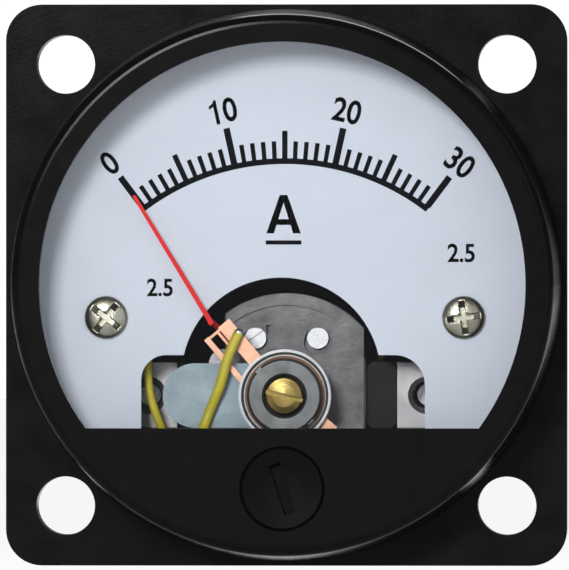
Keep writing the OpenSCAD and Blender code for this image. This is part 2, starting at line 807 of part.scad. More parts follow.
// angle lug on the strap that holds the rear spring's outer end
module rear_spring_lug() {
    color("#c08a68") at_pivot() {
        translate([3.2, y_yoke_back, -1.7]) cube([0.35, 0.95, 2.2]);
        translate([3.2, y_yoke_back, -1.7]) cube([1.6, 0.3, 2.2]);
    }
}
module rear_hairspring() {
    color("#c9a25a") at_pivot() hairspring(y_rear_spring);
}

// ---- moving coil ----

// outline of a flat loop around the core, seen from the scale's top
module loop_outline(half_w, y0, y1, r) {
    translate([0, (y0 + y1) / 2]) rounded_square(2 * half_w, y1 - y0, r);
}
module loop(half_w, y0, y1, t, h) {
    translate([0, 0, -h]) linear_extrude(2 * h) difference() {
        loop_outline(half_w + t, y0 - t, y1 + t, 0.7);
        loop_outline(half_w, y0, y1, 0.4);
    }
}
module coil_former() {
    y0 = y_coil_front + former_t;
    y1 = y_coil_back - former_t;
    color("#c7cacc") at_rest() {
        difference() {
            loop(former_x, y0, y1, former_t, coil_half_h);
            rod(staff_r - 0.01, y_coil_front - 1, y_coil_back + 1);
        }
    }
}
module coil_winding() {
    color("#8a4a1e") at_rest() difference() {
        loop(former_x + former_t + 0.01, y_coil_front - 0.01, y_coil_back + 0.01, winding_t, coil_half_h - 0.15);
        rod(0.8, y_coil_front - 2, y_coil_back + 2);
    }
}
// staff with a fine point, a spring collet and a foot on the coil former
module staff(y_foot, y_point, y_collet) {
    turned([[0, y_foot], [0.75, y_foot], [0.75, y_foot - 0.3], [staff_r, y_foot - 0.3],
        [staff_r, y_collet + spring_w], [collet_r, y_collet + spring_w], [collet_r, y_collet],
        [staff_r, y_collet], [staff_r, y_point + 1], [0.06, y_point + 0.1], [0, y_point]]);
}
module front_staff() {
    color("#d5d8da") at_rest() staff(y_coil_front, y_front_jewel - 0.38, spring_y);
}
module rear_staff() {
    color("#d5d8da") at_rest() rotate([0, 0, 180])
        staff(-y_coil_back, -y_rear_jewel - 0.38, -y_rear_spring - spring_w);
}
// blade in front of the dial, cranked back through the dial's arch to the hub
module pointer() {
    root = [-1.17, 8.2];
    crank_d = 0.3;
    tip_w = 0.28;
    blade_t = 0.2;
    color("#c8453e") at_rest() {
        sheet(y_pointer, blade_t) polygon([[root[0] - pointer_w / 2, root[1] - crank_d / 2],
            [root[0] + pointer_w / 2, root[1] - crank_d / 2], [tip_w / 2, pointer_r - 0.2],
            [0, pointer_r], [-tip_w / 2, pointer_r - 0.2]]);
        translate([root[0] - pointer_w / 2, y_pointer, root[1] - crank_d / 2])
            cube([pointer_w, y_hub + hub_t - y_pointer, crank_d]);
        sheet(y_hub, hub_t) difference() {
            bar([-0.15, 0.9], root - [0, 0.05], pointer_w);
            circle(hub_r);
        }
    }
}
// hub that the pointer is seated against, with two arms for the weights
module pointer_carrier() {
    arm_len = 3.5;
    arm_w = 0.36;
    color("#b8994a") at_rest() difference() {
        sheet(y_hub, hub_t) {
            circle(hub_r);
            for (a = [-125, 125]) rotate(-a) translate([-arm_w / 2, 0]) square([arm_w, arm_len]);
        }
        rod(staff_r + 0.01, y_hub - 1, y_hub + 1);
    }
}
module balance_weights() {
    seat = 2.95;
    color("#c9cccf") at_rest() for (a = [-125, 125]) rotate([0, a, 0])
        difference() {
            translate([0, y_hub + hub_t / 2, seat]) cylinder(r = 0.38, h = 0.8, center = true);
            translate([-0.2, y_hub, seat - 1]) cube([0.4, hub_t, 2]);
        }
}

// ---- leads ----

// route points of the front lead, from the regulator's tab round behind the apron to the right stud
FRONT_LEAD = [[-3.7, -6.1, -3.9], [-4.0, -6.2, -4.5], [-4.6, -6.25, -6], [-5.2, -5.95, -8.1],
    [-5.9, -5.55, -9.8], [-6.5, -5.45, -11.4], [-6.9, -4.6, -12.9], [-6.8, -2, -13.6],
    [-6.4, 3, -13.6], [-5, 9, -13.6], [-1, 13.4, -13.4], [4, 15, -10.5], [7.4, y_floor - 2.2, -5],
    [9, y_floor - 1.6, -1.2], [9.5, y_floor - 1.4, 0.35]];
// route points of the left lead, from the left stud over the yoke's limb to the rear spring lug
LEFT_LEAD = [[-9.5, y_floor - 1.4, 0.35], [-9.9, y_floor - 2.4, -0.6], [-10.3, 12.5, -3.6], [-10.5, 6, -4.6],
    [-10.8, 0, -4.9], [-11.1, -2.7, -5.9], [-11.1, -3.5, -7.1], [-10.9, -3.6, -8.7],
    [-10.5, -3.6, -10.1], [-10, -3.4, -11.4], [-9.6, -2.6, -12.5], [-9.2, 0, -13], [-8.4, 6, -13],
    [-6, 11.4, -12.6], [-1, 12.6, -12.1], [3, 12.2, -11.4], [4, 11.9, -10.75]];
front_lead_r = 0.4;
left_lead_r = 0.35;

// point of a smooth curve between p1 and p2
function smooth(p0, p1, p2, p3, t) = 0.5 * (2 * p1 + (p2 - p0) * t
    + (2 * p0 - 5 * p1 + 4 * p2 - p3) * t * t + (3 * p1 - p0 - 3 * p2 + p3) * t * t * t);
function route(points, steps) = let (n = len(points)) [for (i = [0:n - 2], k = [0:steps - 1])
    smooth(points[max(i - 1, 0)], points[i], points[i + 1], points[min(i + 2, n - 1)], k / steps),
    points[n - 1]];
function unit(v) = v / norm(v);
// eight-sided tube along a route
module lead(points, r) {
    sides = 8;
    p = route(points, 3);
    n = len(p);
    rings = [for (i = [0:n - 1]) let (
        d = unit(p[min(i + 1, n - 1)] - p[max(i - 1, 0)]),
        side = unit(cross(d, [0.6, 0.2, 0.75])), up = cross(side, d))
        for (k = [0:sides - 1]) p[i] + r * (cos(360 * k / sides) * side + sin(360 * k / sides) * up)];
    faces = concat(
        [for (i = [0:n - 2], k = [0:sides - 1]) let (a = i * sides + k,
            b = i * sides + (k + 1) % sides) [a, b, b + sides, a + sides]],
        [[for (k = [sides - 1:-1:0]) k]], [[for (k = [0:sides - 1]) (n - 1) * sides + k]]);
    polyhedron(rings, faces, convexity = 6);
}
module lead_wire_front() {
    color("#c9b53c") lead(FRONT_LEAD, front_lead_r);
}
module lead_wire_left() {
    color("#b39a2e") lead(LEFT_LEAD, left_lead_r);
}

// ---- terminals, from the floor of the case outwards ----

shunt_t = 0.5;
stud_head_t = 1.6;
stud_r = stud_d / 2;
head_flats = stud_d * 1.55;
y_pad = barrel_len + pad_h;
washer_t = 0.8;
tag_t = 0.5;
lock_t = 0.9;
nut_t = stud_d * 0.8;
y_tag = y_pad + washer_t;
y_lock = y_tag + tag_t;
y_terminal_nut = y_lock + lock_t;
terminal_bore = stud_r + run_gap;

// slit strip that joins the two studs inside the case
module shunt() {
    strip_w = 3.4;
    color("#a9825a") sheet(y_floor - shunt_t, shunt_t) translate([0, stud_z]) difference() {
        union() {
            for (side = [-1, 1]) translate([side * stud_x, 0]) circle(stud_r + 1.5);
            square([2 * stud_x, strip_w], center = true);
        }
        for (side = [-1, 1]) translate([side * stud_x, 0]) circle(terminal_bore);
        for (i = [-2:2]) translate([i * 2 - 0.2, (i % 2 == 0 ? -1 : 1) * strip_w * 0.5 - strip_w * 0.35])
            square([0.4, strip_w * 0.7]);
    }
}
module terminal_studs() {
    y_end = barrel_len + stud_out;
    color("#c9a552") both_sides() translate([stud_x, 0, stud_z]) {
        turned([[0, y_floor - shunt_t], [stud_r, y_floor - shunt_t], [stud_r, y_end - 0.5],
            [stud_r - 0.5, y_end], [0, y_end]]);
        sheet(y_floor - shunt_t - stud_head_t, stud_head_t)
            rotate(30) circle(head_flats / 2 / cos(30), $fn = 6);
    }
}
module terminal_washers() {
    color("#c4c6c8") both_sides() translate([stud_x, 0, stud_z])
        sheet(y_pad, washer_t) ring(stud_r * 2.2, terminal_bore);
}
module ring(outer, inner) {
    difference() {
        circle(outer);
        circle(inner);
    }
}
// split spring washer, its ends one third of its thickness apart
module lock_washers() {
    color("#a7abae") both_sides() translate([stud_x, 0, stud_z])
        sheet(y_lock, lock_t) difference() {
            ring(stud_r * 1.75, terminal_bore);
            rotate(20) translate([stud_r * 0.6, -0.25]) square([stud_r * 2, 0.5]);
        }
}
module terminal_nuts() {
    across = stud_d * 1.75;
    outer = across / 2 / cos(30);
    color("#cfd2d4") both_sides() translate([stud_x, 0, stud_z]) difference() {
        intersection() {
            sheet(y_terminal_nut, nut_t) circle(outer, $fn = 6);
            turned([[0, y_terminal_nut - 0.01], [outer, y_terminal_nut - 0.01],
                [outer, y_terminal_nut + nut_t - 0.5], [across / 2 - 0.1, y_terminal_nut + nut_t + 0.01],
                [0, y_terminal_nut + nut_t + 0.01]]);
        }
        rod(stud_r + thread_gap, y_terminal_nut - 1, y_terminal_nut + nut_t + 1);
    }
}
// ring tag with a pierced tail bent back from the case
module solder_tags() {
    tail = 8;
    tail_w = 3;
    lift = 3.5;
    color("#b9bcbe") both_sides() translate([stud_x, 0, stud_z]) difference() {
        union() {
            sheet(y_tag, tag_t) {
                ring(stud_r * 2, terminal_bore);
                translate([-tail_w / 2, stud_r * 1.6]) square([tail_w, tail - lift - stud_r * 1.6 + 0.5]);
            }
            translate([-tail_w / 2, y_tag, tail - lift]) cube([tail_w, lift, tag_t]);
        }
        translate([0, y_tag + lift - 1.4, 0]) cylinder(r = 0.7, h = tail + 2);
    }
}

rear_case();
front_bezel();
window();
rim_gasket();
zero_screw();
zero_clip();
dial_plate();
dial_screws();
movement_frame();
pole_shoe_left();
pole_shoe_right();
magnet_left();
magnet_right();
yoke();
pole_rivets();
core();
core_support();
frame_screws();
movement_screws();
front_bridge();
bridge_screw();
bearing_bush();
front_jewel_screw();
front_jewel();
lock_nut();
friction_washer();
front_insulator();
rear_insulator();
regulator();
front_hairspring();
rear_bridge();
rear_bridge_screws();
rear_jewel_screw();
rear_jewel();
rear_lock_nut();
rear_spring_lug();
rear_hairspring();
coil_former();
coil_winding();
front_staff();
rear_staff();
pointer();
pointer_carrier();
balance_weights();
lead_wire_front();
lead_wire_left();
shunt();
terminal_studs();
terminal_washers();
lock_washers();
terminal_nuts();
solder_tags();
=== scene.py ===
"""Looks of a round-fronted analog panel meter: finishes, dial printing, leads, threads and studio."""
import math

import bmesh
import bpy
from mathutils import Matrix, Vector


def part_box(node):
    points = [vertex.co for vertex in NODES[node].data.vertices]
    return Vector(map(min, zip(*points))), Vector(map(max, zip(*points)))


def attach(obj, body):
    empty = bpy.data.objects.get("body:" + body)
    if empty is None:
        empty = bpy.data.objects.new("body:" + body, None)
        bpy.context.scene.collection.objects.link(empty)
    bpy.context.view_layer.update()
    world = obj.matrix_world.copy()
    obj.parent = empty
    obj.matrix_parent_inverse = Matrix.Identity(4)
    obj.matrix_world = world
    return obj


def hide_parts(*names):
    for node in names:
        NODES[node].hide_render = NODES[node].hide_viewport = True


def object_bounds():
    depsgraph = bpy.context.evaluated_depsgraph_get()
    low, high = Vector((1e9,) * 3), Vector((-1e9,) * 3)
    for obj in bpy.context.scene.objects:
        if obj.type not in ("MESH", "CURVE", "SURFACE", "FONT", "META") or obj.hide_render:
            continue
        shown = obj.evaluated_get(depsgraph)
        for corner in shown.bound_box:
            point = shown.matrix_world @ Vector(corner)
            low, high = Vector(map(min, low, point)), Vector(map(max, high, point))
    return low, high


bl_info = {
    "name": "Analog panel meter",
    "version": (1, 0, 0),
    "blender": (4, 5, 0),
    "location": "3D View > Sidebar > Panel meter",
    "description": "Dresses a moving-coil panel meter and sets up its studio",
    "category": "Add Mesh",
}

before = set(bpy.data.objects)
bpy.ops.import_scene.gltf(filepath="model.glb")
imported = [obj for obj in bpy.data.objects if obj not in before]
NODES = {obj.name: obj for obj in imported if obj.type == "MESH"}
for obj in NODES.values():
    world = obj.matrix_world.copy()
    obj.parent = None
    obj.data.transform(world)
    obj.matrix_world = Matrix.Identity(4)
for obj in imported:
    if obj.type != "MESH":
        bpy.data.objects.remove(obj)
CAD_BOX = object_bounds()
MM = 0.001

# ---- places read from the frame ----


def low(node):
    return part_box(node)[0]


def high(node):
    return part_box(node)[1]


def centre(node):
    return (low(node) + high(node)) / 2


PIVOT = centre("front_jewel_screw")
DIAL_FACE = low("dial_plate").y


# ---- colours and sizes that a user would change ----


def colour(name, description, value):
    return bpy.props.FloatVectorProperty(
        name=name, description=description, subtype="COLOR", size=3, min=0, max=1, default=value)


def length(name, description, mm):
    return bpy.props.FloatProperty(
        name=name, description=description, unit="LENGTH", min=0, default=mm * MM, precision=5)


class METER_PG_finish(bpy.types.PropertyGroup):
    moulding: colour("Moulding", "Black phenolic of the case and bezel", (0.0036, 0.0036, 0.0038))
    dial: colour("Dial", "Lacquer of the dial plate", (0.545, 0.590, 0.675))
    ink: colour("Ink", "Printing on the dial", (0.0030, 0.0034, 0.0048))
    pointer: colour("Pointer", "Lacquer of the pointer", (0.600, 0.020, 0.022))
    zinc: colour("Zinc", "Cast bridge and friction washer", (0.215, 0.277, 0.310))
    sleeve: colour("Sleeve", "Sleeve of the leads", (0.560, 0.480, 0.030))


class METER_PG_dial(bpy.types.PropertyGroup):
    divisions: bpy.props.IntProperty(
        name="Divisions", description="Divisions of the scale", default=30, min=5, max=100)
    sweep: bpy.props.FloatProperty(
        name="Sweep", description="Angle between the scale's ends", subtype="ANGLE",
        default=math.radians(74))
    base_radius: length("Base radius", "Inner radius of the scale's base line", 18.52)
    base_width: length("Base width", "Width of the base line", 0.46)
    minor: length("Minor mark", "Length of a minor mark from the base line's outside", 1.42)
    middle: length("Middle mark", "Length of every fifth mark", 2.25)
    major: length("Major mark", "Length of every tenth mark", 2.95)
    mark_width: length("Mark width", "Width of a minor mark", 0.36)
    digit_height: length("Digit height", "Height of the scale's numbers", 1.95)
    digit_radius: length("Digit radius", "Radius of the numbers' centres", 23.3)
    ink_thickness: length("Ink thickness", "Height of the printing above the dial", 0.012)


class METER_PG_thread(bpy.types.PropertyGroup):
    pitch: length("Pitch", "Pitch of the terminal studs' thread", 0.7)
    depth: length("Depth", "Depth of the terminal studs' thread", 0.36)


# ---- shader groups ----


def socket(tree, name, kind, direction, default=None):
    item = tree.interface.new_socket(name=name, in_out=direction, socket_type="NodeSocket" + kind)
    if default is not None:
        item.default_value = default
    return item


def node(tree, kind, **inputs):
    """Adds a node; a keyword sets the input socket of that name or attribute."""
    made = tree.nodes.new(kind)
    for key, value in inputs.items():
        if hasattr(made, key):
            setattr(made, key, value)
        else:
            made.inputs[key.replace("_", " ")].default_value = value
    return made


def math_node(tree, operation, a, b=None):
    made = tree.nodes.new("ShaderNodeMath")
    made.operation = operation
    for slot_index, value in enumerate((a, b)):
        if value is None:
            continue
        if isinstance(value, (int, float)):
            made.inputs[slot_index].default_value = value
        else:
            tree.links.new(value, made.inputs[slot_index])
    return made.outputs[0]


def surface_grain_group():
    """Patchy colour, uneven gloss and a fine grain over a surface."""
    tree = bpy.data.node_groups.new("surface_grain", "ShaderNodeTree")
    socket(tree, "Color", "Color", "INPUT")
    socket(tree, "Shade", "Color", "INPUT")
    socket(tree, "Patch Scale", "Float", "INPUT", 200.0)
    socket(tree, "Grain Scale", "Float", "INPUT", 4000.0)
    socket(tree, "Gloss Low", "Float", "INPUT", 0.4)
    socket(tree, "Gloss High", "Float", "INPUT", 0.6)
    for name, kind in (("Color", "Color"), ("Roughness", "Float"), ("Height", "Float")):
        socket(tree, name, kind, "OUTPUT")
    link = tree.links.new
    entry, leave = node(tree, "NodeGroupInput"), node(tree, "NodeGroupOutput")
    place = node(tree, "ShaderNodeTexCoord")
    patches = node(tree, "ShaderNodeTexNoise", Detail=4.0, Roughness=0.6)
    grain = node(tree, "ShaderNodeTexNoise", Detail=3.0, Roughness=0.7)
    link(place.outputs["Object"], patches.inputs["Vector"])
    link(place.outputs["Object"], grain.inputs["Vector"])
    link(entry.outputs["Patch Scale"], patches.inputs["Scale"])
    link(entry.outputs["Grain Scale"], grain.inputs["Scale"])
    spread = node(tree, "ShaderNodeMapRange", From_Min=0.35, From_Max=0.68)
    link(patches.outputs[0], spread.inputs["Value"])
    blend = math_node(tree, "MULTIPLY", spread.outputs[0], 0.75)
    blend = math_node(tree, "ADD", blend, math_node(tree, "MULTIPLY", grain.outputs[0], 0.25))
    mix = node(tree, "ShaderNodeMix", data_type="RGBA")
    link(blend, mix.inputs["Factor"])
    link(entry.outputs["Color"], mix.inputs[6])
    link(entry.outputs["Shade"], mix.inputs[7])
    gloss = node(tree, "ShaderNodeMapRange")
    link(patches.outputs[0], gloss.inputs["Value"])
    link(entry.outputs["Gloss Low"], gloss.inputs["To Min"])
    link(entry.outputs["Gloss High"], gloss.inputs["To Max"])
    link(mix.outputs[2], leave.inputs["Color"])
    link(gloss.outputs[0], leave.inputs["Roughness"])
    link(grain.outputs[0], leave.inputs["Height"])
    return tree


def turned_rings_group():
    """Fine tool marks in circles about an axis along Y."""
    tree = bpy.data.node_groups.new("turned_rings", "ShaderNodeTree")
    socket(tree, "Axis X", "Float", "INPUT", 0.0)
    socket(tree, "Axis Z", "Float", "INPUT", 0.0)
    socket(tree, "Lines", "Float", "INPUT", 9000.0)
    socket(tree, "Mask", "Float", "OUTPUT")
    link = tree.links.new
    entry, leave = node(tree, "NodeGroupInput"), node(tree, "NodeGroupOutput")
    place = node(tree, "ShaderNodeTexCoord")
    parts = node(tree, "ShaderNodeSeparateXYZ")
    link(place.outputs["Object"], parts.inputs[0])
    dx = math_node(tree, "SUBTRACT", parts.outputs["X"], entry.outputs["Axis X"])
    dz = math_node(tree, "SUBTRACT", parts.outputs["Z"], entry.outputs["Axis Z"])
    square = math_node(tree, "ADD", math_node(tree, "MULTIPLY", dx, dx), math_node(tree, "MULTIPLY", dz, dz))
    radius = math_node(tree, "SQRT", square)
    lines = node(tree, "ShaderNodeTexNoise", noise_dimensions="1D", Detail=2.0)
    link(math_node(tree, "MULTIPLY", radius, entry.outputs["Lines"]), lines.inputs["W"])
    lines.inputs["Scale"].default_value = 1.0
    link(lines.outputs[0], leave.inputs["Mask"])
    return tree


GRAIN = surface_grain_group()
RINGS = turned_rings_group()


def rgba(rgb, alpha=1.0):
    return (rgb[0], rgb[1], rgb[2], alpha)


def shade_of(rgb, factor):
    return tuple(min(1.0, c * factor) for c in rgb)


def grained(name, rgb, shade, gloss, metallic=0.0, patch=220.0, grain=5200.0, bump=0.08, **extra):
    """A Principled material whose colour, gloss and relief come from the grain group."""
    made = bpy.data.materials.new(name)
    made.use_nodes = True
    tree = made.node_tree
    shader = tree.nodes["Principled BSDF"]
    group = tree.nodes.new("ShaderNodeGroup")
    group.node_tree = GRAIN
    group.inputs["Color"].default_value = rgba(rgb)
    group.inputs["Shade"].default_value = rgba(shade)
    group.inputs["Patch Scale"].default_value = patch
    group.inputs["Grain Scale"].default_value = grain
    group.inputs["Gloss Low"].default_value = gloss[0]
    group.inputs["Gloss High"].default_value = gloss[1]
    tree.links.new(group.outputs["Color"], shader.inputs["Base Color"])
    tree.links.new(group.outputs["Roughness"], shader.inputs["Roughness"])
    relief = tree.nodes.new("ShaderNodeBump")
    relief.inputs["Strength"].default_value = bump
    relief.inputs["Distance"].default_value = 0.05 * MM
    tree.links.new(group.outputs["Height"], relief.inputs["Height"])
    tree.links.new(relief.outputs["Normal"], shader.inputs["Normal"])
    shader.inputs["Metallic"].default_value = metallic
    for key, value in extra.items():
        shader.inputs[key.replace("_", " ")].default_value = value
    return made


def turned(name, rgb, shade, gloss, axis, lines=9000.0, metallic=1.0, bump=0.25):
    """A metal turned about an axis along Y through the given point."""
    made = grained(name, rgb, shade, gloss, metallic=metallic, patch=600.0, grain=7000.0)
    tree = made.node_tree
    rings = tree.nodes.new("ShaderNodeGroup")
    rings.node_tree = RINGS
    rings.inputs["Axis X"].default_value = axis.x
    rings.inputs["Axis Z"].default_value = axis.z
    rings.inputs["Lines"].default_value = lines
    relief = next(n for n in tree.nodes if n.type == "BUMP")
    second = tree.nodes.new("ShaderNodeBump")
    second.inputs["Strength"].default_value = bump
    second.inputs["Distance"].default_value = 0.04 * MM
    tree.links.new(rings.outputs["Mask"], second.inputs["Height"])
    tree.links.new(relief.outputs["Normal"], second.inputs["Normal"])
    tree.links.new(second.outputs["Normal"], tree.nodes["Principled BSDF"].inputs["Normal"])
    return made


def lacquer_print(name, rgb):
    """Matt printing ink, a little worn."""
    return grained(name, rgb, shade_of(rgb, 2.2), (0.5, 0.7), patch=900.0, grain=9000.0, bump=0.03,
                   Specular_IOR_Level=0.0)


def pane_material():
    """Clear pane: light passes straight through and only a little gloss stays."""
    made = grained("clear_pane", (0.9, 0.94, 1.0), (0.86, 0.91, 0.98), (0.02, 0.06), patch=60.0, bump=0.0)
    shader = made.node_tree.nodes["Principled BSDF"]
    shader.inputs["Alpha"].default_value = 0.004
    shader.inputs["Coat Weight"].default_value = 0.0
    made.surface_render_method = "BLENDED"
    return made


def finishes(look):
    """Every finish of the meter, by the name that the pieces use."""
    black = tuple(look.moulding)
    zinc = tuple(look.zinc)
    brass = (0.62, 0.43, 0.12)
    steel = (0.46, 0.47, 0.49)
    iron = (0.34, 0.34, 0.35)
    return {
        "bezel_black": grained("bezel_black", black, shade_of(black, 1.35), (0.14, 0.20), patch=420.0,
                               bump=0.08, Specular_IOR_Level=0.06),
        "flange_black": grained("flange_black", shade_of(black, 0.95), shade_of(black, 2.2), (0.14, 0.24),
                                patch=330.0, grain=3800.0, bump=0.2, Specular_IOR_Level=0.05),
        "pane": pane_material(),
        "rubber": grained("gasket_rubber", (0.02, 0.02, 0.02), (0.035, 0.035, 0.035), (0.7, 0.9)),
        "dial_lacquer": grained("dial_lacquer", tuple(look.dial), shade_of(look.dial, 0.945), (0.55, 0.7),
                                patch=110.0, grain=5000.0, bump=0.03),
        "zinc_cast": grained("zinc_cast", zinc, shade_of(zinc, 0.74), (0.42, 0.6), metallic=0.55,
                             patch=380.0, grain=3600.0, bump=0.3),
        "frame_cast": grained("frame_cast", (0.155, 0.155, 0.16), (0.064, 0.064, 0.068), (0.4, 0.62),
                              metallic=0.5, patch=420.0, grain=3000.0, bump=0.7),
        "soft_iron": grained("soft_iron", iron, shade_of(iron, 0.72), (0.35, 0.55), metallic=0.8,
                             patch=450.0, bump=0.25),
        "magnet": grained("magnet_alloy", (0.011, 0.0115, 0.0095), (0.021, 0.020, 0.016), (0.45, 0.7),
                          metallic=0.1, patch=500.0, grain=3400.0, bump=0.45, Specular_IOR_Level=0.12),
        "steel": grained("bright_steel", steel, shade_of(steel, 0.8), (0.2, 0.34), metallic=1.0, patch=500.0),
        "nut_steel": turned("nut_steel", (0.120, 0.128, 0.130), (0.060, 0.063, 0.065), (0.3, 0.5), PIVOT,
                            lines=12000.0, metallic=0.8),
        "washer_zinc": turned("washer_zinc", (0.36, 0.38, 0.39), (0.24, 0.25, 0.26), (0.3, 0.5), PIVOT,
                              metallic=0.75),
        "screw_plated": grained("screw_plated", (0.40, 0.40, 0.34), (0.20, 0.19, 0.135), (0.22, 0.38),
                                metallic=1.0, patch=700.0, grain=3600.0, bump=0.35),
        "screw_black": grained("screw_black", shade_of(black, 0.8), shade_of(black, 1.1), (0.42, 0.6),
                               patch=420.0, bump=0.1, Specular_IOR_Level=0.05),
        "brass": grained("brass", brass, shade_of(brass, 0.75), (0.22, 0.4), metallic=1.0, patch=500.0),
        # painted shade: the bearing bush's brass is darkened nearly to black to stand in for the shadowed gap
        # around the jewel screw
        "painted_shade_brass": grained("painted_shade_brass", (0.030, 0.024, 0.012), (0.012, 0.010, 0.006), (0.5, 0.7),
                              metallic=0.3, Specular_IOR_Level=0.1),
        "jewel_brass": turned("jewel_brass", (0.27, 0.20, 0.068), (0.11, 0.080, 0.022), (0.22, 0.38), PIVOT,
                              lines=14000.0),
        "copper": grained("copper_strip", (0.62, 0.36, 0.24), (0.50, 0.27, 0.17), (0.3, 0.5), metallic=0.45,
                          patch=600.0, bump=0.2),
        "bronze": grained("spring_bronze", (0.60, 0.42, 0.2), (0.45, 0.3, 0.13), (0.2, 0.3), metallic=1.0),
        "stone": grained("jewel_stone", (0.42, 0.02, 0.07), (0.3, 0.01, 0.05), (0.05, 0.1), bump=0.0),
        "fibre": grained("brown_fibre", (0.22, 0.10, 0.035), (0.13, 0.055, 0.02), (0.55, 0.75), patch=900.0),
        "aluminium": grained("former_aluminium", (0.6, 0.61, 0.62), (0.5, 0.51, 0.52), (0.25, 0.4),
                             metallic=1.0),
        "winding": grained("enamelled_wire", (0.30, 0.10, 0.03), (0.2, 0.06, 0.02), (0.15, 0.3), patch=700.0),
        "pointer_red": grained("pointer_red", tuple(look.pointer), shade_of(look.pointer, 1.15), (0.45, 0.6),
                               patch=900.0, bump=0.05, Specular_IOR_Level=0.1),
        "sleeve": grained("yellow_sleeve", tuple(look.sleeve), shade_of(look.sleeve, 0.72), (0.35, 0.55),
                          patch=650.0, bump=0.1),
        "tinned": grained("tinned_brass", (0.58, 0.58, 0.56), (0.42, 0.42, 0.40), (0.25, 0.42), metallic=1.0,
                          patch=500.0, bump=0.2),
        "solder": grained("solder", (0.55, 0.56, 0.57), (0.36, 0.37, 0.38), (0.2, 0.35), metallic=0.9,
                          patch=800.0),
        "ink": lacquer_print("dial_ink", tuple(look.ink)),
    }


FINISH_OF = {
    "rear_case": "flange_black", "front_bezel": "bezel_black", "zero_screw": "screw_black",
    "window": "pane", "rim_gasket": "rubber", "dial_plate": "dial_lacquer",
    "movement_frame": "frame_cast", "pole_rivets": "frame_cast", "front_bridge": "zinc_cast",
    "friction_washer": "washer_zinc",
    "pole_shoe_left": "soft_iron", "pole_shoe_right": "soft_iron", "yoke": "soft_iron", "core": "soft_iron",
    "magnet_left": "magnet", "magnet_right": "magnet", "lock_nut": "nut_steel",
    # the bearing bush takes the painted-shade brass, dark like the shadowed gap around the jewel screw
    "core_support": "brass", "bearing_bush": "painted_shade_brass", "front_jewel_screw": "jewel_brass",
    "rear_bridge": "brass", "rear_jewel_screw": "brass", "pointer_carrier": "brass",
    "terminal_studs": "brass", "regulator": "copper", "rear_spring_lug": "copper", "shunt": "copper",
    "front_hairspring": "bronze", "rear_hairspring": "bronze", "front_jewel": "stone", "rear_jewel": "stone",
    "front_insulator": "fibre", "rear_insulator": "fibre", "coil_former": "aluminium",
    "coil_winding": "winding", "pointer": "pointer_red", "lead_wire_front": "sleeve",
    "lead_wire_left": "sleeve", "solder_tags": "tinned",
}
MADE = {}


def finish(name):
    """A finish by name; all are made on first use."""
    if not MADE:
        MADE.update(finishes(bpy.context.scene.meter_finish))
    return MADE[name]


# ---- helpers for pieces ----


def piece(name, mesh, finish_name, body, slot_name, *replaced):
    """Makes an object of a mesh that is already in place and ties it to the frame."""
    made = bpy.data.objects.new(name, mesh)
    bpy.context.scene.collection.objects.link(made)
    if not mesh.materials:
        mesh.materials.append(finish(finish_name))
    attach(made, body)
    if replaced:
        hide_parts(*replaced)
    return made


def mesh_of(bm, name, smooth=True):
    """Turns a bmesh into a mesh with outward faces."""
    bmesh.ops.remove_doubles(bm, verts=bm.verts, dist=1e-7)
    bmesh.ops.recalc_face_normals(bm, faces=bm.faces)
    mesh = bpy.data.meshes.new(name)
    bm.to_mesh(mesh)
    bm.free()
    mesh.polygons.foreach_set("use_smooth", [smooth] * len(mesh.polygons))
    return mesh


def baked(holder, name):
    """The evaluated mesh of an object whose modifiers build it; the holder is then removed."""
    graph = bpy.context.evaluated_depsgraph_get()
    mesh = bpy.data.meshes.new_from_object(holder.evaluated_get(graph))
    mesh.name = name
    holder.modifiers.clear()
    bpy.data.objects.remove(holder)
    return mesh


def with_nodes(tree, material, **values):
    """A mesh made by a geometry node tree with the named inputs set."""
    holder = bpy.data.objects.new("holder", bpy.data.meshes.new("holder"))
    bpy.context.scene.collection.objects.link(holder)
    modifier = holder.modifiers.new("nodes", "NODES")
    modifier.node_group = tree
    for item in tree.interface.items_tree:
        if item.item_type == "SOCKET" and item.in_out == "INPUT" and item.name in values:
            modifier[item.identifier] = values[item.name]
        if item.item_type == "SOCKET" and item.in_out == "INPUT" and item.name == "Material":
            modifier[item.identifier] = material
    holder.update_tag()
    bpy.context.view_layer.update()
    return baked(holder, tree.name)


# ---- dial printing ----

MAJOR_WIDENING = 0.45  # share by which a major mark is wider than a minor one
MIDDLE_WIDENING = 0.2  # the same for a middle mark
MARK_OVERLAP = 0.05 * MM  # depth of a mark's foot in the base line
BASE_OVERHANG = 0.16 * MM  # length of the base line past the outer marks
DIGIT_BOLD = 0.02  # outline added to the digits, for a height of one
NUMBER_NARROW, CLASS_NARROW = 0.88, 0.92  # width of the digits against the font's own
ONE_SHIFT, NOUGHT_SHIFT = -0.36, 0.3  # places of the two digits of 10, in digit heights
UNIT_X = -0.1 * MM
UNIT_Z = 5.66 * MM
UNIT_HEIGHT = 3.07 * MM
UNDERLINE = (2.85 * MM, 0.33 * MM)  # length and width
UNDERLINE_Z = 3.4 * MM
CLASS_PRINTS = (("2.5", -10.0, -0.2, 1.43), ("2.5", 14.1, 2.56, 1.5))  # text, x, z and height in mm

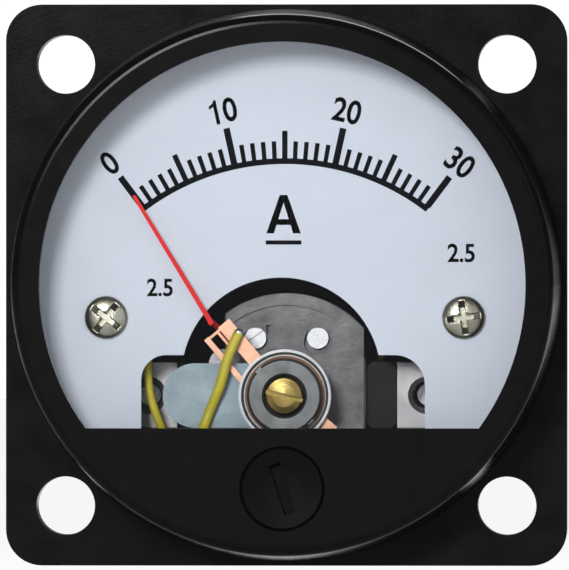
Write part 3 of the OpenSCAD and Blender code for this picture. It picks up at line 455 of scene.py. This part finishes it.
def scale_marks_tree():
    """Marks of a scale on an arc about the Y axis, longer at every fifth and tenth."""
    tree = bpy.data.node_groups.new("scale_marks", "GeometryNodeTree")
    socket(tree, "Geometry", "Geometry", "INPUT")
    socket(tree, "Count", "Int", "INPUT", 31)
    for name in ("Start", "Step", "Radius", "Minor", "Middle", "Major", "Width", "Thickness"):
        socket(tree, name, "Float", "INPUT", 0.0)
    socket(tree, "Origin", "Vector", "INPUT")
    socket(tree, "Material", "Material", "INPUT")
    socket(tree, "Geometry", "Geometry", "OUTPUT")
    link = tree.links.new
    entry, leave = node(tree, "NodeGroupInput"), node(tree, "NodeGroupOutput")
    value = entry.outputs
    points = node(tree, "GeometryNodeMeshLine")
    points.inputs["Offset"].default_value = (0, 0, 0)
    link(value["Count"], points.inputs["Count"])
    index = node(tree, "GeometryNodeInputIndex").outputs[0]
    angle = math_node(tree, "ADD", value["Start"], math_node(tree, "MULTIPLY", index, value["Step"]))
    tenth = math_node(tree, "COMPARE", math_node(tree, "MODULO", index, 10.0), 0.0)
    fifth = math_node(tree, "COMPARE", math_node(tree, "MODULO", index, 5.0), 0.0)
    fifth = math_node(tree, "SUBTRACT", fifth, tenth)
    longer = math_node(tree, "MULTIPLY", tenth, math_node(tree, "SUBTRACT", value["Major"], value["Minor"]))
    longer = math_node(tree, "ADD", longer, math_node(
        tree, "MULTIPLY", fifth, math_node(tree, "SUBTRACT", value["Middle"], value["Minor"])))
    reach = math_node(tree, "ADD", value["Minor"], longer)
    mid_radius = math_node(tree, "ADD", value["Radius"], math_node(tree, "MULTIPLY", reach, 0.5))
    wider = math_node(tree, "ADD", math_node(tree, "MULTIPLY", tenth, MAJOR_WIDENING),
                      math_node(tree, "MULTIPLY", fifth, MIDDLE_WIDENING))
    width = math_node(tree, "MULTIPLY", value["Width"], math_node(tree, "ADD", wider, 1.0))
    place = node(tree, "ShaderNodeCombineXYZ")
    link(math_node(tree, "MULTIPLY", mid_radius, math_node(tree, "SINE", angle)), place.inputs["X"])
    link(math_node(tree, "MULTIPLY", mid_radius, math_node(tree, "COSINE", angle)), place.inputs["Z"])
    add = node(tree, "ShaderNodeVectorMath", operation="ADD")
    link(place.outputs[0], add.inputs[0])
    link(value["Origin"], add.inputs[1])
    moved = node(tree, "GeometryNodeSetPosition")
    link(points.outputs[0], moved.inputs["Geometry"])
    link(add.outputs[0], moved.inputs["Position"])
    block = node(tree, "GeometryNodeMeshCube")
    block.inputs["Size"].default_value = (1, 1, 1)
    turn = node(tree, "ShaderNodeCombineXYZ")
    link(angle, turn.inputs["Y"])
    size = node(tree, "ShaderNodeCombineXYZ")
    link(width, size.inputs["X"])
    link(value["Thickness"], size.inputs["Y"])
    link(reach, size.inputs["Z"])
    placed = node(tree, "GeometryNodeInstanceOnPoints")
    link(moved.outputs[0], placed.inputs["Points"])
    link(block.outputs["Mesh"], placed.inputs["Instance"])
    link(turn.outputs[0], placed.inputs["Rotation"])
    link(size.outputs[0], placed.inputs["Scale"])
    real = node(tree, "GeometryNodeRealizeInstances")
    link(placed.outputs[0], real.inputs[0])
    dress = node(tree, "GeometryNodeSetMaterial")
    link(real.outputs[0], dress.inputs["Geometry"])
    link(value["Material"], dress.inputs["Material"])
    link(dress.outputs[0], leave.inputs[0])
    return tree


def arc_band(name, radius, width, start, end, y, thickness, steps=96):
    """A thin raised band along an arc about the pointer's axis."""
    bm = bmesh.new()
    rings = []
    for i in range(steps + 1):
        angle = start + (end - start) * i / steps
        out = Vector((math.sin(angle), 0, math.cos(angle)))
        ring = []
        outer = radius + width
        for r, depth in ((radius, 0), (radius, -thickness), (outer, -thickness), (outer, 0)):
            spot = PIVOT + out * r
            ring.append(bm.verts.new((spot.x, y + depth, spot.z)))
        rings.append(ring)
    for a, b in zip(rings, rings[1:]):
        for k in range(4):
            bm.faces.new((a[k], a[(k + 1) % 4], b[(k + 1) % 4], b[k]))
    bm.faces.new(rings[0])
    bm.faces.new(list(reversed(rings[-1])))
    return mesh_of(bm, name, smooth=False)


def lettering(text, height, at, angle, thickness, bold, narrow):
    """Printed characters as a thin mesh on the dial, centred at a point and turned about Y."""
    curve = bpy.data.curves.new("letters", "FONT")
    curve.body = text
    curve.align_x, curve.align_y = "CENTER", "CENTER"
    curve.offset = bold
    curve.extrude = 0.5
    curve.resolution_u = 6
    holder = bpy.data.objects.new("letters", curve)
    bpy.context.scene.collection.objects.link(holder)
    graph = bpy.context.evaluated_depsgraph_get()
    mesh = bpy.data.meshes.new_from_object(holder.evaluated_get(graph))
    bpy.data.objects.remove(holder)
    spots = [v.co for v in mesh.vertices]
    lows = [min(c[k] for c in spots) for k in range(3)]
    highs = [max(c[k] for c in spots) for k in range(3)]
    scale = height / (highs[1] - lows[1])
    middle = Vector(((lows[0] + highs[0]) / 2, (lows[1] + highs[1]) / 2, highs[2]))
    upright = Matrix.Rotation(math.pi / 2, 4, "X")
    place = (Matrix.Translation(at) @ Matrix.Rotation(angle, 4, "Y") @ upright
             @ Matrix.Diagonal((scale * narrow, scale, thickness, 1)) @ Matrix.Translation(-middle))
    mesh.transform(place)
    mesh.materials.clear()
    return mesh


def drawn_letter(outlines, height, at, angle, thickness):
    """A printed sign drawn as flat outlines of unit height, centred like lettering."""
    bm = bmesh.new()
    xs = [x for outline in outlines for x, _ in outline]
    middle = (min(xs) + max(xs)) / 2
    for outline in outlines:
        face = bm.faces.new([bm.verts.new((x - middle, y - 0.5, 0)) for x, y in outline])
        solid = bmesh.ops.extrude_face_region(bm, geom=[face])
        moved = [v for v in solid["geom"] if isinstance(v, bmesh.types.BMVert)]
        bmesh.ops.translate(bm, vec=(0, 0, -1), verts=moved)
    upright = Matrix.Rotation(math.pi / 2, 4, "X")
    bm.transform(Matrix.Translation(at) @ Matrix.Rotation(angle, 4, "Y") @ upright
                 @ Matrix.Diagonal((height, height, thickness, 1)))
    return mesh_of(bm, "drawn_letter", smooth=False)


LETTER_A = (((0, 0), (0.195, 0), (0.448, 0.80), (0.70, 0), (0.896, 0), (0.545, 1), (0.35, 1)),
            ((0.2646, 0.22), (0.6314, 0.22), (0.584, 0.37), (0.312, 0.37)))
DIGIT_ONE = (((0.26, 0), (0.41, 0), (0.41, 1), (0.31, 1), (0.25, 0.88), (0.08, 0.79), (0.08, 0.66),
              (0.26, 0.75)),)


def joined(name, meshes):
    """One mesh from several that are already in place."""
    bm = bmesh.new()
    for mesh in meshes:
        bm.from_mesh(mesh)
        bpy.data.meshes.remove(mesh)
    whole = bpy.data.meshes.new(name)
    bm.to_mesh(whole)
    bm.free()
    return whole


# ---- leads ----

# routes of the leads in millimetres, as in the part's source
FRONT_LEAD = ((-3.7, -6.1, -3.9), (-4.0, -6.2, -4.5), (-4.6, -6.25, -6), (-5.2, -5.95, -8.1),
              (-5.9, -5.55, -9.8), (-6.5, -5.45, -11.4), (-6.9, -4.6, -12.9), (-6.8, -2, -13.6),
              (-6.4, 3, -13.6), (-5, 9, -13.6), (-1, 13.4, -13.4), (4, 15, -10.5), (7.4, 15.6, -5),
              (9, 16.2, -1.2), (9.5, 16.4, 0.35))
LEFT_LEAD = ((-9.5, 16.4, 0.35), (-9.9, 15.4, -0.6), (-10.3, 12.5, -3.6), (-10.5, 6, -4.6),
             (-10.8, 0, -4.9), (-11.1, -2.7, -5.9), (-11.1, -3.5, -7.1), (-10.9, -3.6, -8.7),
             (-10.5, -3.6, -10.1), (-10, -3.4, -11.4), (-9.6, -2.6, -12.5), (-9.2, 0, -13), (-8.4, 6, -13),
             (-6, 11.4, -12.6), (-1, 12.6, -12.1), (3, 12.2, -11.4), (4, 11.9, -10.75))
FRONT_LEAD_RADIUS = 0.4 * MM
LEFT_LEAD_RADIUS = 0.35 * MM


def smooth_route(points, steps):
    """Points of the curve through the given ones, in metres."""
    spots = [Vector(p) * MM for p in points]
    last = len(spots) - 1
    route = []
    for i in range(last):
        p0, p1, p2, p3 = (spots[max(0, min(last, k))] for k in (i - 1, i, i + 1, i + 2))
        for k in range(steps):
            t = k / steps
            route.append(0.5 * (2 * p1 + (p2 - p0) * t + (2 * p0 - 5 * p1 + 4 * p2 - p3) * t * t
                                + (3 * p1 - p0 - 3 * p2 + p3) * t ** 3))
    return route + [spots[last]]


def tube(name, route, radius, sides=20):
    """A round tube along a route."""
    bm = bmesh.new()
    rings = []
    reference = Vector((0.6, 0.2, 0.75)).normalized()
    for i, spot in enumerate(route):
        ahead = (route[min(i + 1, len(route) - 1)] - route[max(i - 1, 0)]).normalized()
        side = ahead.cross(reference).normalized()
        up = side.cross(ahead)
        rings.append([bm.verts.new(spot + radius * (math.cos(a) * side + math.sin(a) * up))
                      for a in (2 * math.pi * k / sides for k in range(sides))])
    for a, b in zip(rings, rings[1:]):
        for k in range(sides):
            bm.faces.new((a[k], a[(k + 1) % sides], b[(k + 1) % sides], b[k]))
    bm.faces.new(list(reversed(rings[0])))
    bm.faces.new(rings[-1])
    return mesh_of(bm, name)


# ---- turned and threaded pieces ----

STUD_RADIUS = 2.0 * MM  # M4
SCREW_SHANK_RADIUS = 0.98 * MM
SCREW_TIP = 0.3 * MM  # chamfer of the dial screws' tips
RECESS_REACH = 2.0 * MM  # half length of the cross recess at the cutter's wide end
RECESS_DEPTH = 0.62 * MM
RECESS_WING = 0.27 * MM  # half width of the recess at the cutter's wide end
CUTTER_LEAD = 0.3 * MM  # how far the cutter starts in front of the head
CUTTER_TIP = 0.4  # share of the reach that is left at the cutter's bottom
HEAD_SKIRT = 0.3  # share of the head's height that stands straight under its dome
SCREW_TURNS = ((-1, math.radians(38)), (1, math.radians(-8)))  # side and turn of the recess

def lathe(bm, outline, axis, sides=48):
    """Turns an outline of (radius, y) about an axis along Y."""
    rings = []
    for radius, y in outline:
        if radius < 1e-7:
            rings.append([bm.verts.new((axis.x, y, axis.z))])
            continue
        rings.append([bm.verts.new((axis.x + radius * math.cos(a), y, axis.z + radius * math.sin(a)))
                      for a in (2 * math.pi * k / sides for k in range(sides))])
    for a, b in zip(rings, rings[1:]):
        for k in range(sides):
            n = (k + 1) % sides
            corners = [a[k % len(a)], a[n % len(a)], b[n % len(b)], b[k % len(b)]]
            bm.faces.new(list(dict.fromkeys(corners)))


def threaded_rod(bm, axis, y0, y1, radius, pitch, depth, sides=32, rows=6):
    """A helical thread between two stations, closed by flat ends."""
    steps = max(2, int((y1 - y0) / pitch * rows))
    tip_length, tip_drop = 0.9 * pitch, 0.3 * pitch
    crest_sharpness = 1.25
    rings = []
    for i in range(steps + 1):
        y = y0 + (y1 - y0) * i / steps
        fade = min(1.0, (y1 - y) / tip_length)
        ring = []
        for k in range(sides):
            turn = k / sides
            phase = (y / pitch - turn) % 1.0
            crest = abs(2 * phase - 1)
            r = radius - depth * (1 - min(1.0, crest * crest_sharpness)) - tip_drop * (1 - fade)
            angle = 2 * math.pi * turn
            ring.append(bm.verts.new((axis.x + r * math.cos(angle), y, axis.z + r * math.sin(angle))))
        rings.append(ring)
    for a, b in zip(rings, rings[1:]):
        for k in range(sides):
            bm.faces.new((a[k], a[(k + 1) % sides], b[(k + 1) % sides], b[k]))
    bm.faces.new(rings[0])
    bm.faces.new(list(reversed(rings[-1])))


def hexagon(bm, axis, y0, y1, radius, turn):
    """A plain six-sided head."""
    rings = [[bm.verts.new((axis.x + radius * math.cos(a), y, axis.z + radius * math.sin(a)))
              for a in (turn + math.pi * k / 3 for k in range(6))] for y in (y0, y1)]
    for k in range(6):
        bm.faces.new((rings[0][k], rings[0][(k + 1) % 6], rings[1][(k + 1) % 6], rings[1][k]))
    bm.faces.new(rings[0])
    bm.faces.new(list(reversed(rings[1])))


def cross_cutter(axis, turn, face_y, reach, depth):
    """Tapered four-winged point that cuts a cross recess."""
    bm = bmesh.new()
    for quarter in range(2):
        spin = Matrix.Rotation(turn + quarter * math.pi / 2, 4, "Y")
        corners = []
        for share, y in ((1.0, face_y - CUTTER_LEAD), (CUTTER_TIP, face_y + depth)):
            half, wing = reach * share, RECESS_WING * (0.5 + 0.5 * share)
            foot = Vector((axis.x, y, axis.z))
            corners.append([bm.verts.new(foot + spin @ Vector((sx * half, 0, sz * wing)))
                            for sx, sz in ((-1, -1), (1, -1), (1, 1), (-1, 1))])
        top, bottom = corners
        for k in range(4):
            bm.faces.new((top[k], top[(k + 1) % 4], bottom[(k + 1) % 4], bottom[k]))
        bm.faces.new(top)
        bm.faces.new(list(reversed(bottom)))
    return mesh_of(bm, "cutter", smooth=False)


def cut(mesh, cutter):
    """The first mesh with the second taken out of it."""
    holders = []
    for source in (mesh, cutter):
        holder = bpy.data.objects.new("holder", source)
        bpy.context.scene.collection.objects.link(holder)
        holders.append(holder)
    body, tool = holders
    modifier = body.modifiers.new("cut", "BOOLEAN")
    modifier.operation = "DIFFERENCE"
    modifier.solver = "EXACT"
    modifier.use_self = True
    modifier.object = tool
    bpy.context.view_layer.update()
    result = baked(body, mesh.name)
    bpy.data.objects.remove(tool)
    return result


# ---- operators ----


class METER_OT_finishes(bpy.types.Operator):
    """Gives every construction node its finish"""
    bl_idname = "meter.finishes"
    bl_label = "Apply finishes"

    def execute(self, context):
        for name, holder in NODES.items():
            holder.data.materials.clear()
            holder.data.materials.append(finish(FINISH_OF.get(name, "steel")))
        return {"FINISHED"}


class METER_OT_dial_print(bpy.types.Operator):
    """Prints the scale, its numbers and the unit on the dial"""
    bl_idname = "meter.dial_print"
    bl_label = "Print the dial"

    def execute(self, context):
        dial = context.scene.meter_dial
        start = -dial.sweep / 2
        step = dial.sweep / dial.divisions
        base_out = dial.base_radius + dial.base_width
        y_mid = DIAL_FACE - dial.ink_thickness / 2
        marks = with_nodes(
            scale_marks_tree(), finish("ink"), Count=dial.divisions + 1, Start=start, Step=step,
            Radius=base_out - MARK_OVERLAP, Minor=dial.minor, Middle=dial.middle, Major=dial.major,
            Width=dial.mark_width, Thickness=dial.ink_thickness, Origin=(PIVOT.x, y_mid, PIVOT.z))
        piece("scale_marks", marks, "ink", "case", "dial_paint")
        edge = BASE_OVERHANG / dial.base_radius
        band = arc_band("scale_base", dial.base_radius, dial.base_width, start - edge, -start + edge,
                        DIAL_FACE, dial.ink_thickness)
        piece("scale_base", band, "ink", "case", "dial_paint")
        numbers = []
        height = dial.digit_height
        for i in range(4):
            angle = start + dial.sweep * i / 3
            spot = Vector((PIVOT.x + dial.digit_radius * math.sin(angle), DIAL_FACE,
                           PIVOT.z + dial.digit_radius * math.cos(angle)))
            along = Vector((math.cos(angle), 0, -math.sin(angle)))
            if i == 1:
                numbers.append(drawn_letter(DIGIT_ONE, height, spot + ONE_SHIFT * height * along,
                                            angle, dial.ink_thickness))
                spot = spot + NOUGHT_SHIFT * height * along
            text = "0" if i == 1 else str(10 * i)
            numbers.append(lettering(text, height, spot, angle, dial.ink_thickness, DIGIT_BOLD, NUMBER_NARROW))
        piece("scale_numbers", joined("scale_numbers", numbers), "ink", "case", "dial_paint")
        unit = [drawn_letter(LETTER_A, UNIT_HEIGHT, Vector((UNIT_X, DIAL_FACE, UNIT_Z)), 0.0,
                             dial.ink_thickness)]
        for text, x, z, height in CLASS_PRINTS:
            unit.append(lettering(text, height * MM, Vector((x * MM, DIAL_FACE, z * MM)), 0.0,
                                  dial.ink_thickness, DIGIT_BOLD, CLASS_NARROW))
        bm = bmesh.new()
        bmesh.ops.create_cube(bm, size=1.0, matrix=Matrix.Translation((UNIT_X, y_mid, UNDERLINE_Z))
                              @ Matrix.Diagonal((UNDERLINE[0], dial.ink_thickness, UNDERLINE[1], 1)))
        unit.append(mesh_of(bm, "underline", smooth=False))
        piece("unit_and_class", joined("unit_and_class", unit), "ink", "case", "dial_paint")
        return {"FINISHED"}


class METER_OT_leads(bpy.types.Operator):
    """Makes the two sleeved leads as round tubes along their routes"""
    bl_idname = "meter.leads"
    bl_label = "Make the leads"

    def execute(self, context):
        for name, points, radius in (("lead_wire_front", FRONT_LEAD, FRONT_LEAD_RADIUS),
                                     ("lead_wire_left", LEFT_LEAD, LEFT_LEAD_RADIUS)):
            mesh = tube(name + "_sleeve", smooth_route(points, 10), radius)
            piece(name + "_sleeve", mesh, "sleeve", "case", "yellow_sleeve", name)
        return {"FINISHED"}


class METER_OT_studs(bpy.types.Operator):
    """Cuts the thread on the terminal studs"""
    bl_idname = "meter.studs"
    bl_label = "Thread the studs"

    def execute(self, context):
        thread = context.scene.meter_thread
        first, last = low("terminal_studs"), high("terminal_studs")
        head_back = low("shunt").y
        head_r = (last.z - first.z) / 2
        bm = bmesh.new()
        for side in (-1, 1):
            axis = Vector((side * (last.x - head_r * math.cos(math.pi / 6)), 0, (first.z + last.z) / 2))
            hexagon(bm, axis, first.y, head_back, head_r, math.pi / 6)
            threaded_rod(bm, axis, head_back, last.y, STUD_RADIUS, thread.pitch, thread.depth)
        mesh = mesh_of(bm, "stud_threads", smooth=False)
        piece("stud_threads", mesh, "brass", "case", "brass", "terminal_studs")
        return {"FINISHED"}


class METER_OT_dial_screws(bpy.types.Operator):
    """Makes the two cross-recess screws of the dial"""
    bl_idname = "meter.dial_screws"
    bl_label = "Make the dial screws"

    def execute(self, context):
        first, last = low("dial_screws"), high("dial_screws")
        head_r = (last.z - first.z) / 2
        shank_r = SCREW_SHANK_RADIUS
        meshes = []
        for side, turn in SCREW_TURNS:
            x = first.x + head_r if side < 0 else last.x - head_r
            axis = Vector((x, 0, (first.z + last.z) / 2))
            rise = DIAL_FACE - first.y
            dome = [(head_r * math.sin(a), DIAL_FACE - rise * (HEAD_SKIRT + (1 - HEAD_SKIRT) * math.cos(a)))
                    for a in (math.pi / 2 * k / 9 for k in range(10))]
            bm = bmesh.new()
            lathe(bm, dome + [(head_r, DIAL_FACE), (shank_r, DIAL_FACE), (shank_r, last.y - SCREW_TIP),
                              (shank_r - SCREW_TIP, last.y), (0, last.y)], axis)
            cutter = cross_cutter(axis, turn, first.y, RECESS_REACH, RECESS_DEPTH)
            meshes.append(cut(mesh_of(bm, "screw"), cutter))
        mesh = joined("cross_screws", meshes)
        piece("cross_screws", mesh, "screw_plated", "case", "bright_steel", "dial_screws")
        return {"FINISHED"}


SOLDER_HALVES = Vector((0.42, 0.24, 0.38)) * MM  # half sizes of the solder
SOLDER_OFFSET = Vector((0, -0.25, 0.05)) * MM  # from the lead's end, on the tab's face, to its middle
SOLDER_SWELL = 0.12  # unevenness of its outline


class METER_OT_solder(bpy.types.Operator):
    """Adds the solder that holds the front lead to its tab"""
    bl_idname = "meter.solder"
    bl_label = "Add the solder"

    def execute(self, context):
        end = Vector(FRONT_LEAD[0]) * MM
        middle = Vector((end.x, low("regulator").y, end.z)) + SOLDER_OFFSET
        bm = bmesh.new()
        bmesh.ops.create_icosphere(bm, subdivisions=3, radius=1.0)
        for v in bm.verts:
            swell = 1 + SOLDER_SWELL * math.sin(5 * v.co.x + 3 * v.co.z)
            v.co = middle + Vector((v.co.x * SOLDER_HALVES.x * swell, v.co.y * SOLDER_HALVES.y,
                                    v.co.z * SOLDER_HALVES.z))
        piece("tab_solder", mesh_of(bm, "tab_solder"), "solder", "zero_regulator", "tinned_brass")
        return {"FINISHED"}


# ---- stage ----

FLOOR_DROP = 14 * MM  # from the part's lowest point to the floor
FLOOR_HALF = 3.0
PAPER_TINT = (0.82, 0.82, 0.82)
WORLD_TINT = (0.93, 0.96, 1.0)
FLOOR_GLOW = 0.9  # share of the floor's white that the camera sees
MIRRORED_SHARE = 0.35  # the same in reflections
WORLD_CAMERA, WORLD_DIFFUSE, WORLD_BASE = 0.94, 0.12, 0.16
LAMPS = (  # name, place, size and power
    ("key", (-0.115, -0.60, 0.16), 0.13, 2.45), ("fill", (0.34, -0.40, 0.05), 0.40, 0.45),
    ("rear", (0.10, 0.45, 0.40), 0.40, 3.0), ("under", (0.0, -0.35, -0.02), 0.30, 0.12))
CAMERA_PLACE = (38 * MM, -1.0, 0)
AIM_X = 0.02 * MM
AIM_DEPTH = 1.5 * MM  # from the case's foremost point to the flange's front, which the camera aims at
VIEW_WIDTH = 45.5 * MM  # what the picture spans at the flange's front


def white_to_camera(name, tint):
    """Pale studio surface that shows white to the camera and keeps shadows."""
    made = bpy.data.materials.new(name)
    made.use_nodes = True
    tree = made.node_tree
    tree.nodes.clear()
    leave = tree.nodes.new("ShaderNodeOutputMaterial")
    paint = node(tree, "ShaderNodeBsdfDiffuse")
    paint.inputs["Color"].default_value = rgba(tint)
    glow = node(tree, "ShaderNodeEmission")
    glow.inputs["Color"].default_value = (1, 1, 1, 1)
    path = tree.nodes.new("ShaderNodeLightPath")
    mirrored = math_node(tree, "MULTIPLY", path.outputs["Is Glossy Ray"], MIRRORED_SHARE)
    seen = math_node(tree, "MAXIMUM", path.outputs["Is Camera Ray"], math_node(
        tree, "MAXIMUM", mirrored, path.outputs["Is Transmission Ray"]))
    mix = tree.nodes.new("ShaderNodeMixShader")
    tree.links.new(math_node(tree, "MULTIPLY", seen, FLOOR_GLOW), mix.inputs[0])
    tree.links.new(paint.outputs[0], mix.inputs[1])
    tree.links.new(glow.outputs[0], mix.inputs[2])
    tree.links.new(mix.outputs[0], leave.inputs["Surface"])
    return made


class METER_OT_stage(bpy.types.Operator):
    """Sets the floor, the lamps, the world and the camera"""
    bl_idname = "meter.stage"
    bl_label = "Set the stage"

    def execute(self, context):
        scene = context.scene
        first, last = CAD_BOX
        middle = (first + last) / 2
        bm = bmesh.new()
        floor_z = first.z - FLOOR_DROP
        bmesh.ops.create_grid(bm, x_segments=2, y_segments=2, size=FLOOR_HALF,
                              matrix=Matrix.Translation((0, 0, floor_z)))
        floor = bpy.data.objects.new("floor", mesh_of(bm, "floor", smooth=False))
        floor.data.materials.append(white_to_camera("floor_paper", PAPER_TINT))
        scene.collection.objects.link(floor)
        for name, place, size, power in LAMPS:
            lamp = bpy.data.lights.new(name, "AREA")
            lamp.size = size
            lamp.energy = power
            holder = bpy.data.objects.new(name, lamp)
            holder.location = place
            holder.rotation_euler = (middle - Vector(place)).to_track_quat("-Z", "Y").to_euler()
            holder.visible_camera = False
            scene.collection.objects.link(holder)
        world = bpy.data.worlds.new("studio")
        scene.world = world
        world.use_nodes = True
        tree = world.node_tree
        back = tree.nodes["Background"]
        back.inputs["Color"].default_value = rgba(WORLD_TINT)
        path = tree.nodes.new("ShaderNodeLightPath")
        seen = math_node(tree, "MULTIPLY", path.outputs["Is Camera Ray"], WORLD_CAMERA)
        spread = math_node(tree, "MULTIPLY", path.outputs["Is Diffuse Ray"], WORLD_DIFFUSE)
        tree.links.new(math_node(tree, "ADD", math_node(tree, "ADD", seen, spread), WORLD_BASE),
                       back.inputs["Strength"])
        camera = bpy.data.cameras.new("camera")
        camera.sensor_width = 36.0
        place = Vector(CAMERA_PLACE)
        aim = Vector((AIM_X, low("rear_case").y + AIM_DEPTH, 0))
        camera.lens = camera.sensor_width * (aim - place).length / VIEW_WIDTH
        camera.clip_start, camera.clip_end = 0.01, 20.0
        holder = bpy.data.objects.new("camera", camera)
        holder.location = place
        holder.rotation_euler = (aim - place).to_track_quat("-Z", "Y").to_euler()
        scene.collection.objects.link(holder)
        scene.camera = holder
        scene.view_settings.view_transform = "Standard"
        return {"FINISHED"}


class METER_PT_panel(bpy.types.Panel):
    """Lists the meter's operators and settings"""
    bl_label = "Panel meter"
    bl_idname = "METER_PT_panel"
    bl_space_type = "VIEW_3D"
    bl_region_type = "UI"
    bl_category = "Panel meter"

    def draw(self, context):
        for holder in (context.scene.meter_finish, context.scene.meter_dial, context.scene.meter_thread):
            for key in holder.__annotations__:
                self.layout.prop(holder, key)
        for kind in OPERATORS:
            self.layout.operator(kind.bl_idname)


OPERATORS = (METER_OT_finishes, METER_OT_dial_print, METER_OT_leads, METER_OT_studs,
             METER_OT_dial_screws, METER_OT_solder, METER_OT_stage)
CLASSES = (METER_PG_finish, METER_PG_dial, METER_PG_thread) + OPERATORS + (METER_PT_panel,)


def register():
    for kind in CLASSES:
        bpy.utils.register_class(kind)
    bpy.types.Scene.meter_finish = bpy.props.PointerProperty(type=METER_PG_finish)
    bpy.types.Scene.meter_dial = bpy.props.PointerProperty(type=METER_PG_dial)
    bpy.types.Scene.meter_thread = bpy.props.PointerProperty(type=METER_PG_thread)


def unregister():
    for name in ("meter_finish", "meter_dial", "meter_thread"):
        delattr(bpy.types.Scene, name)
    for kind in reversed(CLASSES):
        bpy.utils.unregister_class(kind)


def main():
    register()
    for kind in OPERATORS:
        group, name = kind.bl_idname.split(".")
        getattr(getattr(bpy.ops, group), name)()


if __name__ == "__main__":
    main()
